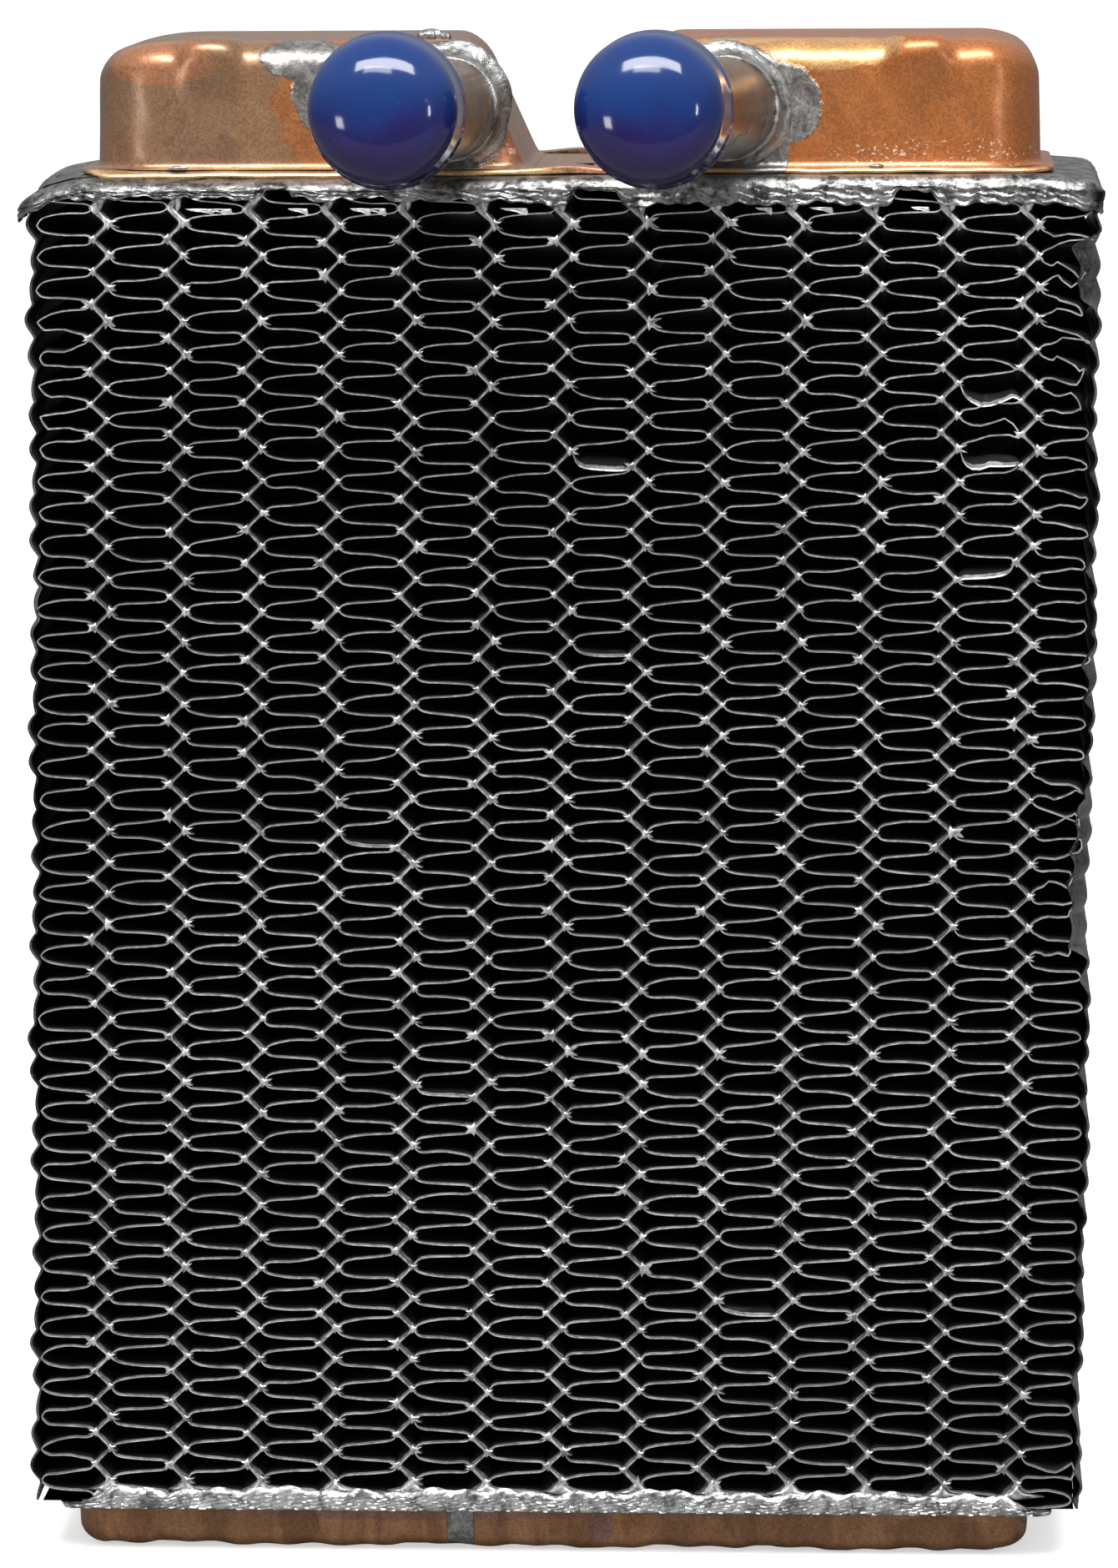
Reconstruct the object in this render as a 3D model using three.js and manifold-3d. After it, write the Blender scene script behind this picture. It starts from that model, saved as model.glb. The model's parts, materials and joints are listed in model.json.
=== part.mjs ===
// A car heater radiator: a soldered cellular core between two tinned header plates,
// a two-chamber tank with the coolant pipes on top and a shallow return tank below.
// Sizes are in millimetres. +Z is up, the pipes point to the front (-Y), and the
// origin is the centre of the return tank's underside.
import * as THREE from "three";
import { mergeVertices } from "three/addons/utils/BufferGeometryUtils.js";
import Module from "manifold-3d";

const wasm = await Module();
wasm.setup();

// Core
const coreDepth = 51; // front face to rear face
const tubeCount = 13;
const tubePitch = 12.2; // centre to centre of neighbouring water tubes
const tubeThickness = 1.8;
const tubeWall = 0.3;
const tubeNeckDepth = 40; // front to back of the part that enters the header slots
const foldCount = 42; // full pleats in one fin
const foldPitch = 5.1;
const finThickness = 0.3;
const finSetback = 0.3; // fin edges behind the tube edges
const endColumnWidth = 9.9; // last tube's wall to the side strip
const stripThickness = 0.5;

// Header plates
const headerThickness = 1;
const lipThickness = 0.8;
const topLipDepth = 4.5; // how far the lip hangs over the core
const bottomLipDepth = 2.8;
const headerCornerRadius = 3.5;
const bottomHeaderOverhang = 2.6; // past the return tank's flange at each end

// Tanks
const tankSheet = 0.8;
const mouthMargin = 0.7; // tank wall clear of the tube mouths, front and back
const flangeRim = 2;
const flangeCornerRadius = 6;
const topTankCornerRadius = 11; // at the end walls
const chamberInnerRadius = 3.5; // at the two inner ends, over the edge radius
const topTankEdgeRadius = 3;
const chamberGap = 9; // between the two chambers, at the flange
const chamberLean = 8.6; // how far each inner end leans away by the top
const headroom = 0.9; // chamber ceiling above the pipe hole
const dimpleRadius = 2.9;
const dimpleInset = 19; // from the tank's end wall to a dimple's centre
const returnTankHeight = 8;
const returnTankCornerRadius = 6;
const returnTankEdgeRadius = 3;

// Coolant pipes and their dust caps
const pipeRadius = 7.95;
const pipeWall = 1;
const pipeReach = 66; // tank wall to mouth
const pipeInside = 2.5; // length inside the chamber
const beadHeight = 0.9;
const beadLength = 3;
const beadSetback = 5; // mouth to the middle of the bead
const pipeSpacing = 44;
const pipeShift = 2.9; // the pair sits off centre by this much
const pipeRise = THREE.MathUtils.degToRad(3);
const inletLean = THREE.MathUtils.degToRad(5);
const outletLean = THREE.MathUtils.degToRad(9.5);
const solderRingWidth = 1.3;
const solderRingHeight = 1.6;
const solderRingLand = 0.25; // at the top of its hollow fillet
const capLength = 19; // rim to the front's rounded edge
const capWall = 1.9;
const capFrontWall = 2.2;
const capDraft = 0.8; // rim radius over front radius
const capRimChamfer = 0.5;
const capEdgeRadius = 3.6;
const capCrown = 1.4; // rise of the front face at its centre

// Clearances
const solderFilm = 0.05; // between soldered faces
const pipeClearance = 0.55; // round a leaning pipe in its hole
const capClearance = 0.3; // round the bead, inside the cap
const capEndClearance = 0.5; // pipe mouth to the cap's inner end

// Finish of the surfaces
const roundSegments = 24;
const cornerSegments = 4;
const edgeSegments = 2;

const finish = {
  tube: { color: 0x8c8c8a, roughness: 0.45, metalness: 0.9 },
  fin: { color: 0x6d6b68, roughness: 0.5, metalness: 0.9 },
  strip: { color: 0x8a8987, roughness: 0.5, metalness: 0.9 },
  header: { color: 0xa5a5a4, roughness: 0.35, metalness: 0.95 },
  topTank: { color: 0xa5652f, roughness: 0.38, metalness: 0.95 },
  returnTank: { color: 0x7d5a3c, roughness: 0.48, metalness: 0.9 },
  pipe: { color: 0x9a6b42, roughness: 0.35, metalness: 0.95 },
  solder: { color: 0xb4b4b2, roughness: 0.3, metalness: 0.95 },
  cap: { color: 0x243d8a, roughness: 0.22, metalness: 0 },
};

// Heights
const returnFlangeTop = returnTankHeight;
const bottomHeaderBase = returnFlangeTop + solderFilm;
const coreBase = bottomHeaderBase + headerThickness + solderFilm;
const coreHeight = foldCount * foldPitch;
const coreTop = coreBase + coreHeight;
const topHeaderBase = coreTop + solderFilm;
const topHeaderTop = topHeaderBase + headerThickness;
const topFlangeBase = topHeaderTop + solderFilm;
const pipeHoleRadius = pipeRadius + pipeClearance;
const solderRingRadius = pipeHoleRadius + solderRingWidth;
const pipeAxisZ = topFlangeBase + tankSheet + solderFilm + solderRingRadius;
const topTankTop = pipeAxisZ + pipeHoleRadius + headroom + tankSheet;
const topTankHeight = topTankTop - topFlangeBase;

// Widths
const lastTubeX = ((tubeCount - 1) / 2) * tubePitch;
const stripInnerX = lastTubeX + tubeThickness / 2 + endColumnWidth;
const coreHalfWidth = stripInnerX + stripThickness;
const tankHalfWidth = lastTubeX + tubeThickness / 2 + tankSheet;
const tankDepth = tubeNeckDepth + 2 * (mouthMargin + tankSheet);
const tankWallY = -tankDepth / 2;
const tubeDepth = coreDepth;
const finDepth = coreDepth - 2 * finSetback;

function solidOf(geometry) {
  const plain = geometry.clone();
  plain.deleteAttribute("normal");
  plain.deleteAttribute("uv");
  const merged = mergeVertices(plain, 1e-4);
  return new wasm.Manifold(
    new wasm.Mesh({
      numProp: 3,
      vertProperties: merged.attributes.position.array,
      triVerts: new Uint32Array(merged.index.array),
    }),
  );
}

function geometryOf(solid) {
  const mesh = solid.getMesh();
  const indexed = new THREE.BufferGeometry();
  indexed.setAttribute("position", new THREE.BufferAttribute(mesh.vertProperties, 3));
  indexed.setIndex(new THREE.BufferAttribute(mesh.triVerts, 1));
  const faceted = indexed.toNonIndexed();
  faceted.computeVertexNormals();
  return faceted;
}

function piece(name, geometry, look) {
  const mesh = new THREE.Mesh(geometry, new THREE.MeshStandardMaterial(look));
  mesh.name = name;
  return mesh;
}

// The corners towards -X and towards +X can have different radii.
function roundedRectangle(width, depth, leftRadius, rightRadius) {
  const shape = new THREE.Shape();
  const x = width / 2;
  const y = depth / 2;
  shape.moveTo(x - rightRadius, -y);
  shape.absarc(x - rightRadius, -y + rightRadius, rightRadius, -Math.PI / 2, 0);
  shape.absarc(x - rightRadius, y - rightRadius, rightRadius, 0, Math.PI / 2);
  shape.absarc(-x + leftRadius, y - leftRadius, leftRadius, Math.PI / 2, Math.PI);
  shape.absarc(-x + leftRadius, -y + leftRadius, leftRadius, Math.PI, 1.5 * Math.PI);
  shape.closePath();
  return shape;
}

function slab(width, depth, thickness, radius, base) {
  const shape = roundedRectangle(width, depth, radius, radius);
  const options = { depth: thickness, bevelEnabled: false, curveSegments: cornerSegments };
  return new THREE.ExtrudeGeometry(shape, options).translate(0, 0, base);
}

// A drawn dome on an outline: vertical walls and a rounded top edge. It runs below
// its base, where the caller cuts it off.
function drawnDome(outline, height, edgeRadius) {
  const dome = new THREE.ExtrudeGeometry(outline, {
    depth: height,
    bevelThickness: edgeRadius,
    bevelSize: edgeRadius,
    bevelOffset: -edgeRadius,
    bevelSegments: edgeSegments,
    curveSegments: cornerSegments,
  });
  return dome.translate(0, 0, -edgeRadius);
}

function boxBetween(low, high) {
  const size = high.map((value, i) => value - low[i]);
  const middle = high.map((value, i) => (value + low[i]) / 2);
  return new THREE.BoxGeometry(...size).translate(...middle);
}

// A water tube: full core depth between the header plates, with a narrower neck
// that ends flush with each plate's outer face. The inset makes its water passage.
function tubeBlank(inset, overrun) {
  const body = tubeDepth / 2 - inset;
  const neck = tubeNeckDepth / 2 - inset;
  const low = bottomHeaderBase - overrun;
  const high = topHeaderTop + overrun;
  const outline = new THREE.Shape([
    new THREE.Vector2(-neck, low),
    new THREE.Vector2(neck, low),
    new THREE.Vector2(neck, coreBase + inset),
    new THREE.Vector2(body, coreBase + inset),
    new THREE.Vector2(body, coreTop - inset),
    new THREE.Vector2(neck, coreTop - inset),
    new THREE.Vector2(neck, high),
    new THREE.Vector2(-neck, high),
    new THREE.Vector2(-neck, coreTop - inset),
    new THREE.Vector2(-body, coreTop - inset),
    new THREE.Vector2(-body, coreBase + inset),
    new THREE.Vector2(-neck, coreBase + inset),
  ]);
  const thickness = tubeThickness - 2 * inset;
  const blank = new THREE.ExtrudeGeometry(outline, { depth: thickness, bevelEnabled: false });
  const standing = new THREE.Matrix4().makeBasis(
    new THREE.Vector3(0, 1, 0),
    new THREE.Vector3(0, 0, 1),
    new THREE.Vector3(1, 0, 0),
  );
  return blank.applyMatrix4(standing).translate(-thickness / 2, 0, 0);
}

function waterTubes() {
  const overrun = 1;
  const tube = geometryOf(
    solidOf(tubeBlank(0, 0)).subtract(solidOf(tubeBlank(tubeWall, overrun))),
  );
  const tubes = new THREE.Group();
  for (let i = 0; i < tubeCount; i++) {
    const name = `water_tube_${String(i + 1).padStart(2, "0")}`;
    const mesh = piece(name, tube, finish.tube);
    mesh.position.x = i * tubePitch - lastTubeX;
    tubes.add(mesh);
  }
  return tubes;
}

// A pleated fin strip: it crosses its column twice in each fold. Its two sides are
// the same zigzag, shifted across the column by what gives the sheet its thickness.
function pleatedFin(width) {
  const runs = 2 * foldCount;
  const rise = (coreHeight - 2 * solderFilm) / runs;
  const span = width - 2 * solderFilm;
  const shift = (span * finThickness) / (2 * (rise + finThickness));
  const zigzag = (offset) =>
    Array.from({ length: runs + 1 }, (_, i) => {
      const side = i % 2 === 0 ? -1 : 1;
      return new THREE.Vector2(side * (span / 2 - shift) + offset, solderFilm + i * rise);
    });
  const outline = new THREE.Shape([...zigzag(shift), ...zigzag(-shift).reverse()]);
  const fin = new THREE.ExtrudeGeometry(outline, { depth: finDepth, bevelEnabled: false });
  return fin.rotateX(Math.PI / 2).translate(0, finDepth / 2, 0);
}

function fins() {
  const between = pleatedFin(tubePitch - tubeThickness);
  const atEnd = pleatedFin(endColumnWidth);
  const endX = lastTubeX + (tubeThickness + endColumnWidth) / 2;
  const columns = new THREE.Group();
  for (let i = 0; i <= tubeCount; i++) {
    const isEnd = i === 0 || i === tubeCount;
    const name = `fin_${String(i + 1).padStart(2, "0")}`;
    const mesh = piece(name, isEnd ? atEnd : between, finish.fin);
    mesh.position.x = (i - tubeCount / 2) * tubePitch;
    if (i === 0) mesh.position.x = -endX;
    if (i === tubeCount) mesh.position.x = endX;
    mesh.position.z = coreBase;
    columns.add(mesh);
  }
  return columns;
}

function sideStrips() {
  const strips = new THREE.Group();
  const strip = boxBetween(
    [0, -coreDepth / 2, coreBase + solderFilm],
    [stripThickness, coreDepth / 2, coreTop - solderFilm],
  );
  const left = piece("side_strip_left", strip, finish.strip);
  left.position.x = -coreHalfWidth;
  const right = piece("side_strip_right", strip, finish.strip);
  right.position.x = stripInnerX;
  strips.add(left, right);
  return strips;
}

function tubeSlots(base) {
  const halfWidth = tubeThickness / 2 + solderFilm;
  const halfDepth = tubeNeckDepth / 2 + solderFilm;
  const past = 1;
  let slots;
  for (let i = 0; i < tubeCount; i++) {
    const x = i * tubePitch - lastTubeX;
    const slot = solidOf(
      boxBetween(
        [x - halfWidth, -halfDepth, base - past],
        [x + halfWidth, halfDepth, base + headerThickness + past],
      ),
    );
    slots = slots ? slots.add(slot) : slot;
  }
  return slots;
}

// The top header plate is a shallow lid with its lip turned down round the core.
function topHeader() {
  const innerWidth = 2 * (coreHalfWidth + solderFilm);
  const innerDepth = coreDepth + 2 * solderFilm;
  const outer = slab(
    innerWidth + 2 * lipThickness,
    innerDepth + 2 * lipThickness,
    headerThickness + topLipDepth,
    headerCornerRadius,
    topHeaderBase - topLipDepth,
  );
  const past = 1;
  const pocket = boxBetween(
    [-innerWidth / 2, -innerDepth / 2, topHeaderBase - topLipDepth - past],
    [innerWidth / 2, innerDepth / 2, topHeaderBase],
  );
  const plate = solidOf(outer).subtract(solidOf(pocket)).subtract(tubeSlots(topHeaderBase));
  return piece("top_header_plate", geometryOf(plate), finish.header);
}

// The bottom header plate has a lip turned up at the front and rear only, and the
// two end columns of the core hang past it.
function bottomHeader() {
  const halfWidth = tankHalfWidth + flangeRim + bottomHeaderOverhang;
  const innerHalfDepth = coreDepth / 2 + solderFilm;
  const outer = slab(
    2 * halfWidth,
    2 * (innerHalfDepth + lipThickness),
    headerThickness + bottomLipDepth,
    lipThickness,
    bottomHeaderBase,
  );
  const past = 1;
  const trough = boxBetween(
    [-halfWidth - past, -innerHalfDepth, bottomHeaderBase + headerThickness],
    [halfWidth + past, innerHalfDepth, coreBase + bottomLipDepth + past],
  );
  const plate = solidOf(outer).subtract(solidOf(trough)).subtract(tubeSlots(bottomHeaderBase));
  return piece("bottom_header_plate", geometryOf(plate), finish.header);
}

function flange(halfWidth, depth, base) {
  const width = 2 * (halfWidth + flangeRim);
  return solidOf(slab(width, depth + 2 * flangeRim, tankSheet, flangeCornerRadius, base));
}

// One chamber of the top tank, on its side of the middle, drawn in by the inset.
// Its inner end leans away from the other chamber.
function chamber(side, inset) {
  const width = tankHalfWidth - chamberGap / 2 - 2 * inset;
  const radii = [topTankCornerRadius - inset, chamberInnerRadius - inset];
  if (side > 0) radii.reverse();
  const outline = roundedRectangle(width, tankDepth - 2 * inset, ...radii);
  const dome = drawnDome(outline, topTankHeight - inset, topTankEdgeRadius - inset);
  const outerEnd = (side * width) / 2;
  const lean = chamberLean / (width * topTankHeight);
  const place = dome.getAttribute("position");
  for (let i = 0; i < place.count; i++) {
    const fromEnd = place.getX(i) - outerEnd;
    place.setX(i, outerEnd + fromEnd * (1 - lean * place.getZ(i)));
  }
  dome.translate(side * (tankHalfWidth - inset) - outerEnd, 0, topFlangeBase);
  return solidOf(dome).add(solidOf(dimple(side, inset)));
}

// A half-round bump pressed out of the chamber's upper front edge.
function dimple(side, inset) {
  const radius = dimpleRadius - inset;
  const bump = new THREE.SphereGeometry(radius, roundSegments / 2, 2 * cornerSegments);
  return bump.translate(
    side * (tankHalfWidth - dimpleInset),
    tankWallY + dimpleRadius,
    topTankTop - dimpleRadius,
  );
}

function underTheFlange() {
  const reach = tankHalfWidth + topTankHeight;
  return solidOf(
    boxBetween(
      [-reach, -tankDepth, topFlangeBase - topTankHeight],
      [reach, tankDepth, topFlangeBase],
    ),
  );
}

function pipeX(side) {
  return pipeShift + (side * pipeSpacing) / 2;
}

function pipeHole(side) {
  const length = 4 * topTankEdgeRadius;
  const drill = new THREE.CylinderGeometry(pipeHoleRadius, pipeHoleRadius, length, roundSegments);
  return solidOf(drill.translate(pipeX(side), tankWallY, pipeAxisZ));
}

// One stamping: two chambers joined by a flange that is soldered to the header plate.
function topTank() {
  const sides = [-1, 1];
  let shell = flange(tankHalfWidth, tankDepth, topFlangeBase);
  for (const side of sides) shell = shell.add(chamber(side, 0).subtract(underTheFlange()));
  for (const side of sides) {
    shell = shell.subtract(chamber(side, tankSheet)).subtract(pipeHole(side));
  }
  return piece("top_tank", geometryOf(shell), finish.topTank);
}

// The return tank is a shallow pan that hangs from its flange.
function returnTank() {
  const pan = (inset) => {
    const radius = returnTankCornerRadius - inset;
    const width = 2 * (tankHalfWidth - inset);
    const outline = roundedRectangle(width, tankDepth - 2 * inset, radius, radius);
    const dome = drawnDome(outline, returnTankHeight - inset, returnTankEdgeRadius - inset);
    return solidOf(dome.rotateX(Math.PI).translate(0, 0, returnTankHeight));
  };
  const past = 2 * returnTankHeight;
  const above = solidOf(
    boxBetween(
      [-tankHalfWidth - past, -tankDepth, returnFlangeTop],
      [tankHalfWidth + past, tankDepth, returnFlangeTop + past],
    ),
  );
  const rim = flange(tankHalfWidth, tankDepth, returnFlangeTop - tankSheet);
  const tank = rim.add(pan(0)).subtract(pan(tankSheet)).subtract(above);
  return piece("return_tank", geometryOf(tank), finish.returnTank);
}

// Lathe profiles are pairs of radius and distance along the pipe's axis from the
// tank wall. The lathe turns about Y, which is laid to point to the front.
function turned(profile) {
  const points = profile.map(([radius, along]) => new THREE.Vector2(radius, along));
  return new THREE.LatheGeometry(points, roundSegments);
}

function pipeGeometry() {
  const bore = pipeRadius - pipeWall;
  const bead = pipeReach - beadSetback;
  const chamfer = pipeWall / 2;
  return turned([
    [bore, -pipeInside],
    [pipeRadius, -pipeInside],
    [pipeRadius, bead - beadLength / 2],
    [pipeRadius + beadHeight, bead - beadLength / 4],
    [pipeRadius + beadHeight, bead + beadLength / 4],
    [pipeRadius, bead + beadLength / 2],
    [pipeRadius, pipeReach - chamfer],
    [pipeRadius - chamfer, pipeReach],
    [bore, pipeReach],
    [bore, -pipeInside],
  ]);
}

function solderRingGeometry() {
  const profile = [[pipeHoleRadius, solderFilm]];
  for (let i = 0; i <= cornerSegments; i++) {
    const turn = (i / cornerSegments) * (Math.PI / 2);
    const fillet = (solderRingWidth - solderRingLand) * (1 - Math.sin(turn));
    const height = (solderRingHeight - solderFilm) * (1 - Math.cos(turn));
    profile.push([pipeHoleRadius + solderRingLand + fillet, solderFilm + height]);
  }
  profile.push([pipeHoleRadius, solderRingHeight]);
  profile.push([pipeHoleRadius, solderFilm]);
  return turned(profile);
}

// A soft cup: a crowned front with a rounded edge, and a side that widens to the rim.
function capGeometry() {
  const bore = pipeRadius + beadHeight + capClearance;
  const frontRadius = bore + capWall;
  const rimRadius = frontRadius + capDraft;
  const innerEnd = pipeReach + capEndClearance;
  const edge = innerEnd + capFrontWall;
  const shoulder = edge - capEdgeRadius;
  const rim = edge - capLength;
  const profile = [
    [0, innerEnd],
    [bore, innerEnd],
    [bore, rim],
    [rimRadius - capRimChamfer, rim],
    [rimRadius, rim + capRimChamfer],
    [frontRadius, shoulder],
  ];
  for (let i = 1; i <= cornerSegments; i++) {
    const turn = (i / cornerSegments) * (Math.PI / 2);
    const radius = frontRadius - capEdgeRadius * (1 - Math.cos(turn));
    profile.push([radius, shoulder + capEdgeRadius * Math.sin(turn)]);
  }
  const flat = frontRadius - capEdgeRadius;
  for (let i = cornerSegments - 1; i >= 0; i--) {
    const share = i / cornerSegments;
    profile.push([flat * share, edge + capCrown * (1 - share * share)]);
  }
  return turned(profile);
}

function coolantPipe(name, side, lean) {
  const place = new THREE.Group();
  place.position.set(pipeX(side), tankWallY, pipeAxisZ);
  const ring = piece(`${name}_solder_ring`, solderRingGeometry(), finish.solder);
  ring.rotation.x = Math.PI;
  const aim = new THREE.Group();
  aim.rotation.set(-pipeRise, 0, -lean);
  const pipe = piece(`${name}_pipe`, pipeGeometry(), finish.pipe);
  pipe.rotation.x = Math.PI;
  const cap = piece(`${name}_cap`, capGeometry(), finish.cap);
  cap.rotation.x = Math.PI;
  aim.add(pipe, cap);
  place.add(ring, aim);
  return place;
}

const radiator = new THREE.Group();
radiator.add(
  waterTubes(),
  fins(),
  sideStrips(),
  topHeader(),
  bottomHeader(),
  topTank(),
  returnTank(),
  coolantPipe("inlet", -1, inletLean),
  coolantPipe("outlet", 1, outletLean),
);
export default radiator;
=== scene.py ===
import json
import math

import bmesh
import bpy
import numpy as np
from mathutils import Matrix, Vector


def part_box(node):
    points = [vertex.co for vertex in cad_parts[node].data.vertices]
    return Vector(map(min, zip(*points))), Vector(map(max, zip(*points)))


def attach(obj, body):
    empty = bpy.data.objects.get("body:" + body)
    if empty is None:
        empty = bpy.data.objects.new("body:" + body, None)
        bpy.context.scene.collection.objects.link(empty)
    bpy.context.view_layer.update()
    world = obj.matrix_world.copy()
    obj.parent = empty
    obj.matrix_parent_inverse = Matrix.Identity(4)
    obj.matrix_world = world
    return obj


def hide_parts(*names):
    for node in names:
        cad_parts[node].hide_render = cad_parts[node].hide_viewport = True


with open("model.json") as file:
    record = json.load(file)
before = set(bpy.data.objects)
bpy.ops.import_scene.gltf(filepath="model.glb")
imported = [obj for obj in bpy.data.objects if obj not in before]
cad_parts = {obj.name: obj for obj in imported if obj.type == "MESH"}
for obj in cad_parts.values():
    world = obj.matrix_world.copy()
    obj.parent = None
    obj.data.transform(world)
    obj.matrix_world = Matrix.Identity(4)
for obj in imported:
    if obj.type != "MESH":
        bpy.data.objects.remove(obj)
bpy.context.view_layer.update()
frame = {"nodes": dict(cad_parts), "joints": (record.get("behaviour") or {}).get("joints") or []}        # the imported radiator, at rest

mm = 0.001
turnRound = 2 * math.pi
assembly = "core_assembly"


# mesh helpers

def newParts():
    return {"points": [], "faces": [], "slots": [], "count": 0}


def addBlock(parts, points, faces, slot=0):
    # points in metres, one row each; faces as rows of point numbers
    points = np.asarray(points, float).reshape(-1, 3)
    faces = np.asarray(faces, int)
    parts["points"].append(points)
    parts["faces"] += (faces + parts["count"]).tolist()
    parts["slots"] += [slot] * len(faces)
    parts["count"] += len(points)


def gridFaces(rows, cols, wrapRows=False, wrapCols=False):
    r = np.arange(rows if wrapRows else rows - 1)
    c = np.arange(cols if wrapCols else cols - 1)
    a, b = np.meshgrid(r, c, indexing="ij")
    nextA = (a + 1) % rows
    nextB = (b + 1) % cols
    corners = [a * cols + b, a * cols + nextB, nextA * cols + nextB, nextA * cols + b]
    return np.stack(corners, -1).reshape(-1, 4)


def addLoft(parts, rings, slot=0, caps=True):
    # rings: (rows, points round, 3), closed round each ring
    rows, cols = rings.shape[:2]
    start = parts["count"]
    addBlock(parts, rings, gridFaces(rows, cols, wrapCols=True), slot)
    if caps:
        first = list(range(start, start + cols))
        last = [(rows - 1) * cols + n for n in first]
        parts["faces"] += [first[::-1], last]
        parts["slots"] += [slot, slot]


def smoothStep(value, low, high):
    t = np.clip((value - low) / (high - low), 0, 1)
    return t * t * (3 - 2 * t)


def waves(value, lengths, seed):
    # slow irregular wander, about -1..1, from a few sines of the given wavelengths
    phases = np.random.default_rng(seed).uniform(0, turnRound, len(lengths))
    total = sum(np.sin(turnRound * value / (n * mm) + p) for n, p in zip(lengths, phases))
    return total / math.sqrt(len(lengths))


def runLength(line):
    # how far along a line of points each one is
    return np.cumsum(np.r_[0, np.hypot(*np.diff(line, axis=0).T)])


def skewCore(points):
    # the soldered core leans a little to the left towards its foot
    share = 1 - np.clip(points[:, 2] / coreTop, 0, 1)
    points[:, 0] *= 1 + irregular["spread"] * share
    points[:, 0] -= irregular["lean"] * mm * share
    return points


def makePiece(name, parts, body, nodes, materials, sharp=38, skew=True):
    points = np.concatenate(parts["points"])
    if skew:
        points = skewCore(points)
    mesh = bpy.data.meshes.new(name)
    mesh.from_pydata(points.tolist(), [], parts["faces"])
    mesh.polygons.foreach_set("material_index", parts["slots"])
    work = bmesh.new()
    work.from_mesh(mesh)
    bmesh.ops.recalc_face_normals(work, faces=work.faces)
    work.to_mesh(mesh)
    work.free()
    mesh.polygons.foreach_set("use_smooth", [True] * len(mesh.polygons))
    mesh.set_sharp_from_angle(angle=math.radians(sharp))
    piece = bpy.data.objects.new(name, mesh)
    bpy.context.scene.collection.objects.link(piece)
    for material in materials:
        mesh.materials.append(material)
    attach(piece, body)
    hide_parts(*nodes)
    return piece


# sizes taken from the frame

tubeNames = sorted(n for n in frame["nodes"] if n.startswith("water_tube_"))
finNames = sorted(n for n in frame["nodes"] if n.startswith("fin_"))
finLow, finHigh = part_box(finNames[0])
tubeX = [(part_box(n)[0].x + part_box(n)[1].x) / 2 for n in tubeNames]
coreBase, coreTop = finLow.z, finHigh.z
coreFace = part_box(tubeNames[0])[1].y  # half the depth of the core
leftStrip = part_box("side_strip_left")
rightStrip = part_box("side_strip_right")

irregular = {"lean": 2.85, "spread": 0.008, "sway": 0.26, "drift": 0.3}  # mm, spread as a share


groups = {}
socketKinds = {1: "NodeSocketFloat", 3: "NodeSocketVector", 4: "NodeSocketColor"}


def plug(tree, node, links):
    # a socket is linked, and a plain value is set on the input itself
    for key, value in links.items():
        if isinstance(value, bpy.types.NodeSocket):
            tree.links.new(value, node.inputs[key])
        else:
            node.inputs[key].default_value = value
    return node


def addNode(tree, kind, links=None, **settings):
    node = tree.nodes.new(kind)
    for key, value in settings.items():
        setattr(node, key, value)
    return plug(tree, node, links or {})


def newGroup(name, inputs, outputs):
    # the kind of a socket follows from how many numbers its value has
    group = bpy.data.node_groups.new(name, "ShaderNodeTree")
    for label, value in inputs.items():
        socket = group.interface.new_socket(label, in_out="INPUT", socket_type=socketKinds[np.size(value)])
        socket.default_value = value
    for label, count in outputs.items():
        group.interface.new_socket(label, in_out="OUTPUT", socket_type=socketKinds[count])
    groups[name] = group
    given = group.nodes.new("NodeGroupInput").outputs
    return group, given, group.nodes.new("NodeGroupOutput")


def useGroup(tree, name, links):
    return addNode(tree, "ShaderNodeGroup", links, node_tree=groups[name])


def mathNode(tree, operation, a, b=0.0, clamp=False):
    node = addNode(tree, "ShaderNodeMath", {0: a, 1: b}, operation=operation, use_clamp=clamp)
    return node.outputs[0]


def mixColour(tree, factor, a, b, blend="MIX"):
    node = addNode(tree, "ShaderNodeMix", {0: factor, 6: a, 7: b}, data_type="RGBA", blend_type=blend)
    return node.outputs[2]


def mixValue(tree, factor, a, b):
    return addNode(tree, "ShaderNodeMix", {0: factor, 2: a, 3: b}).outputs[0]


def noiseNode(tree, place, scale, detail=3.0, rough=0.55, distort=0.0):
    links = {"Vector": place, "Scale": scale, "Detail": detail, "Roughness": rough, "Distortion": distort}
    return addNode(tree, "ShaderNodeTexNoise", links).outputs[0]


def rampValue(tree, value, low, high):
    links = {"Value": value, "From Min": low, "From Max": high}
    return addNode(tree, "ShaderNodeMapRange", links, interpolation_type="SMOOTHSTEP").outputs[0]


def vectorNode(tree, operation, a, b=None):
    links = {0: a} if b is None else {0: a, 1: b}
    return addNode(tree, "ShaderNodeVectorMath", links, operation=operation).outputs


def buildBlotches():
    # blotchy mask for heat tint, stains and tarnish
    inputs = {"Place": (0, 0, 0), "Scale": 60.0, "Low": 0.45, "High": 0.6}
    group, given, result = newGroup("blotches", inputs, {"Mask": 1})
    grain = noiseNode(group, given["Place"], given["Scale"], 5.0, 0.6, 0.4)
    plug(group, result, {"Mask": rampValue(group, grain, given["Low"], given["High"])})


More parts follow.
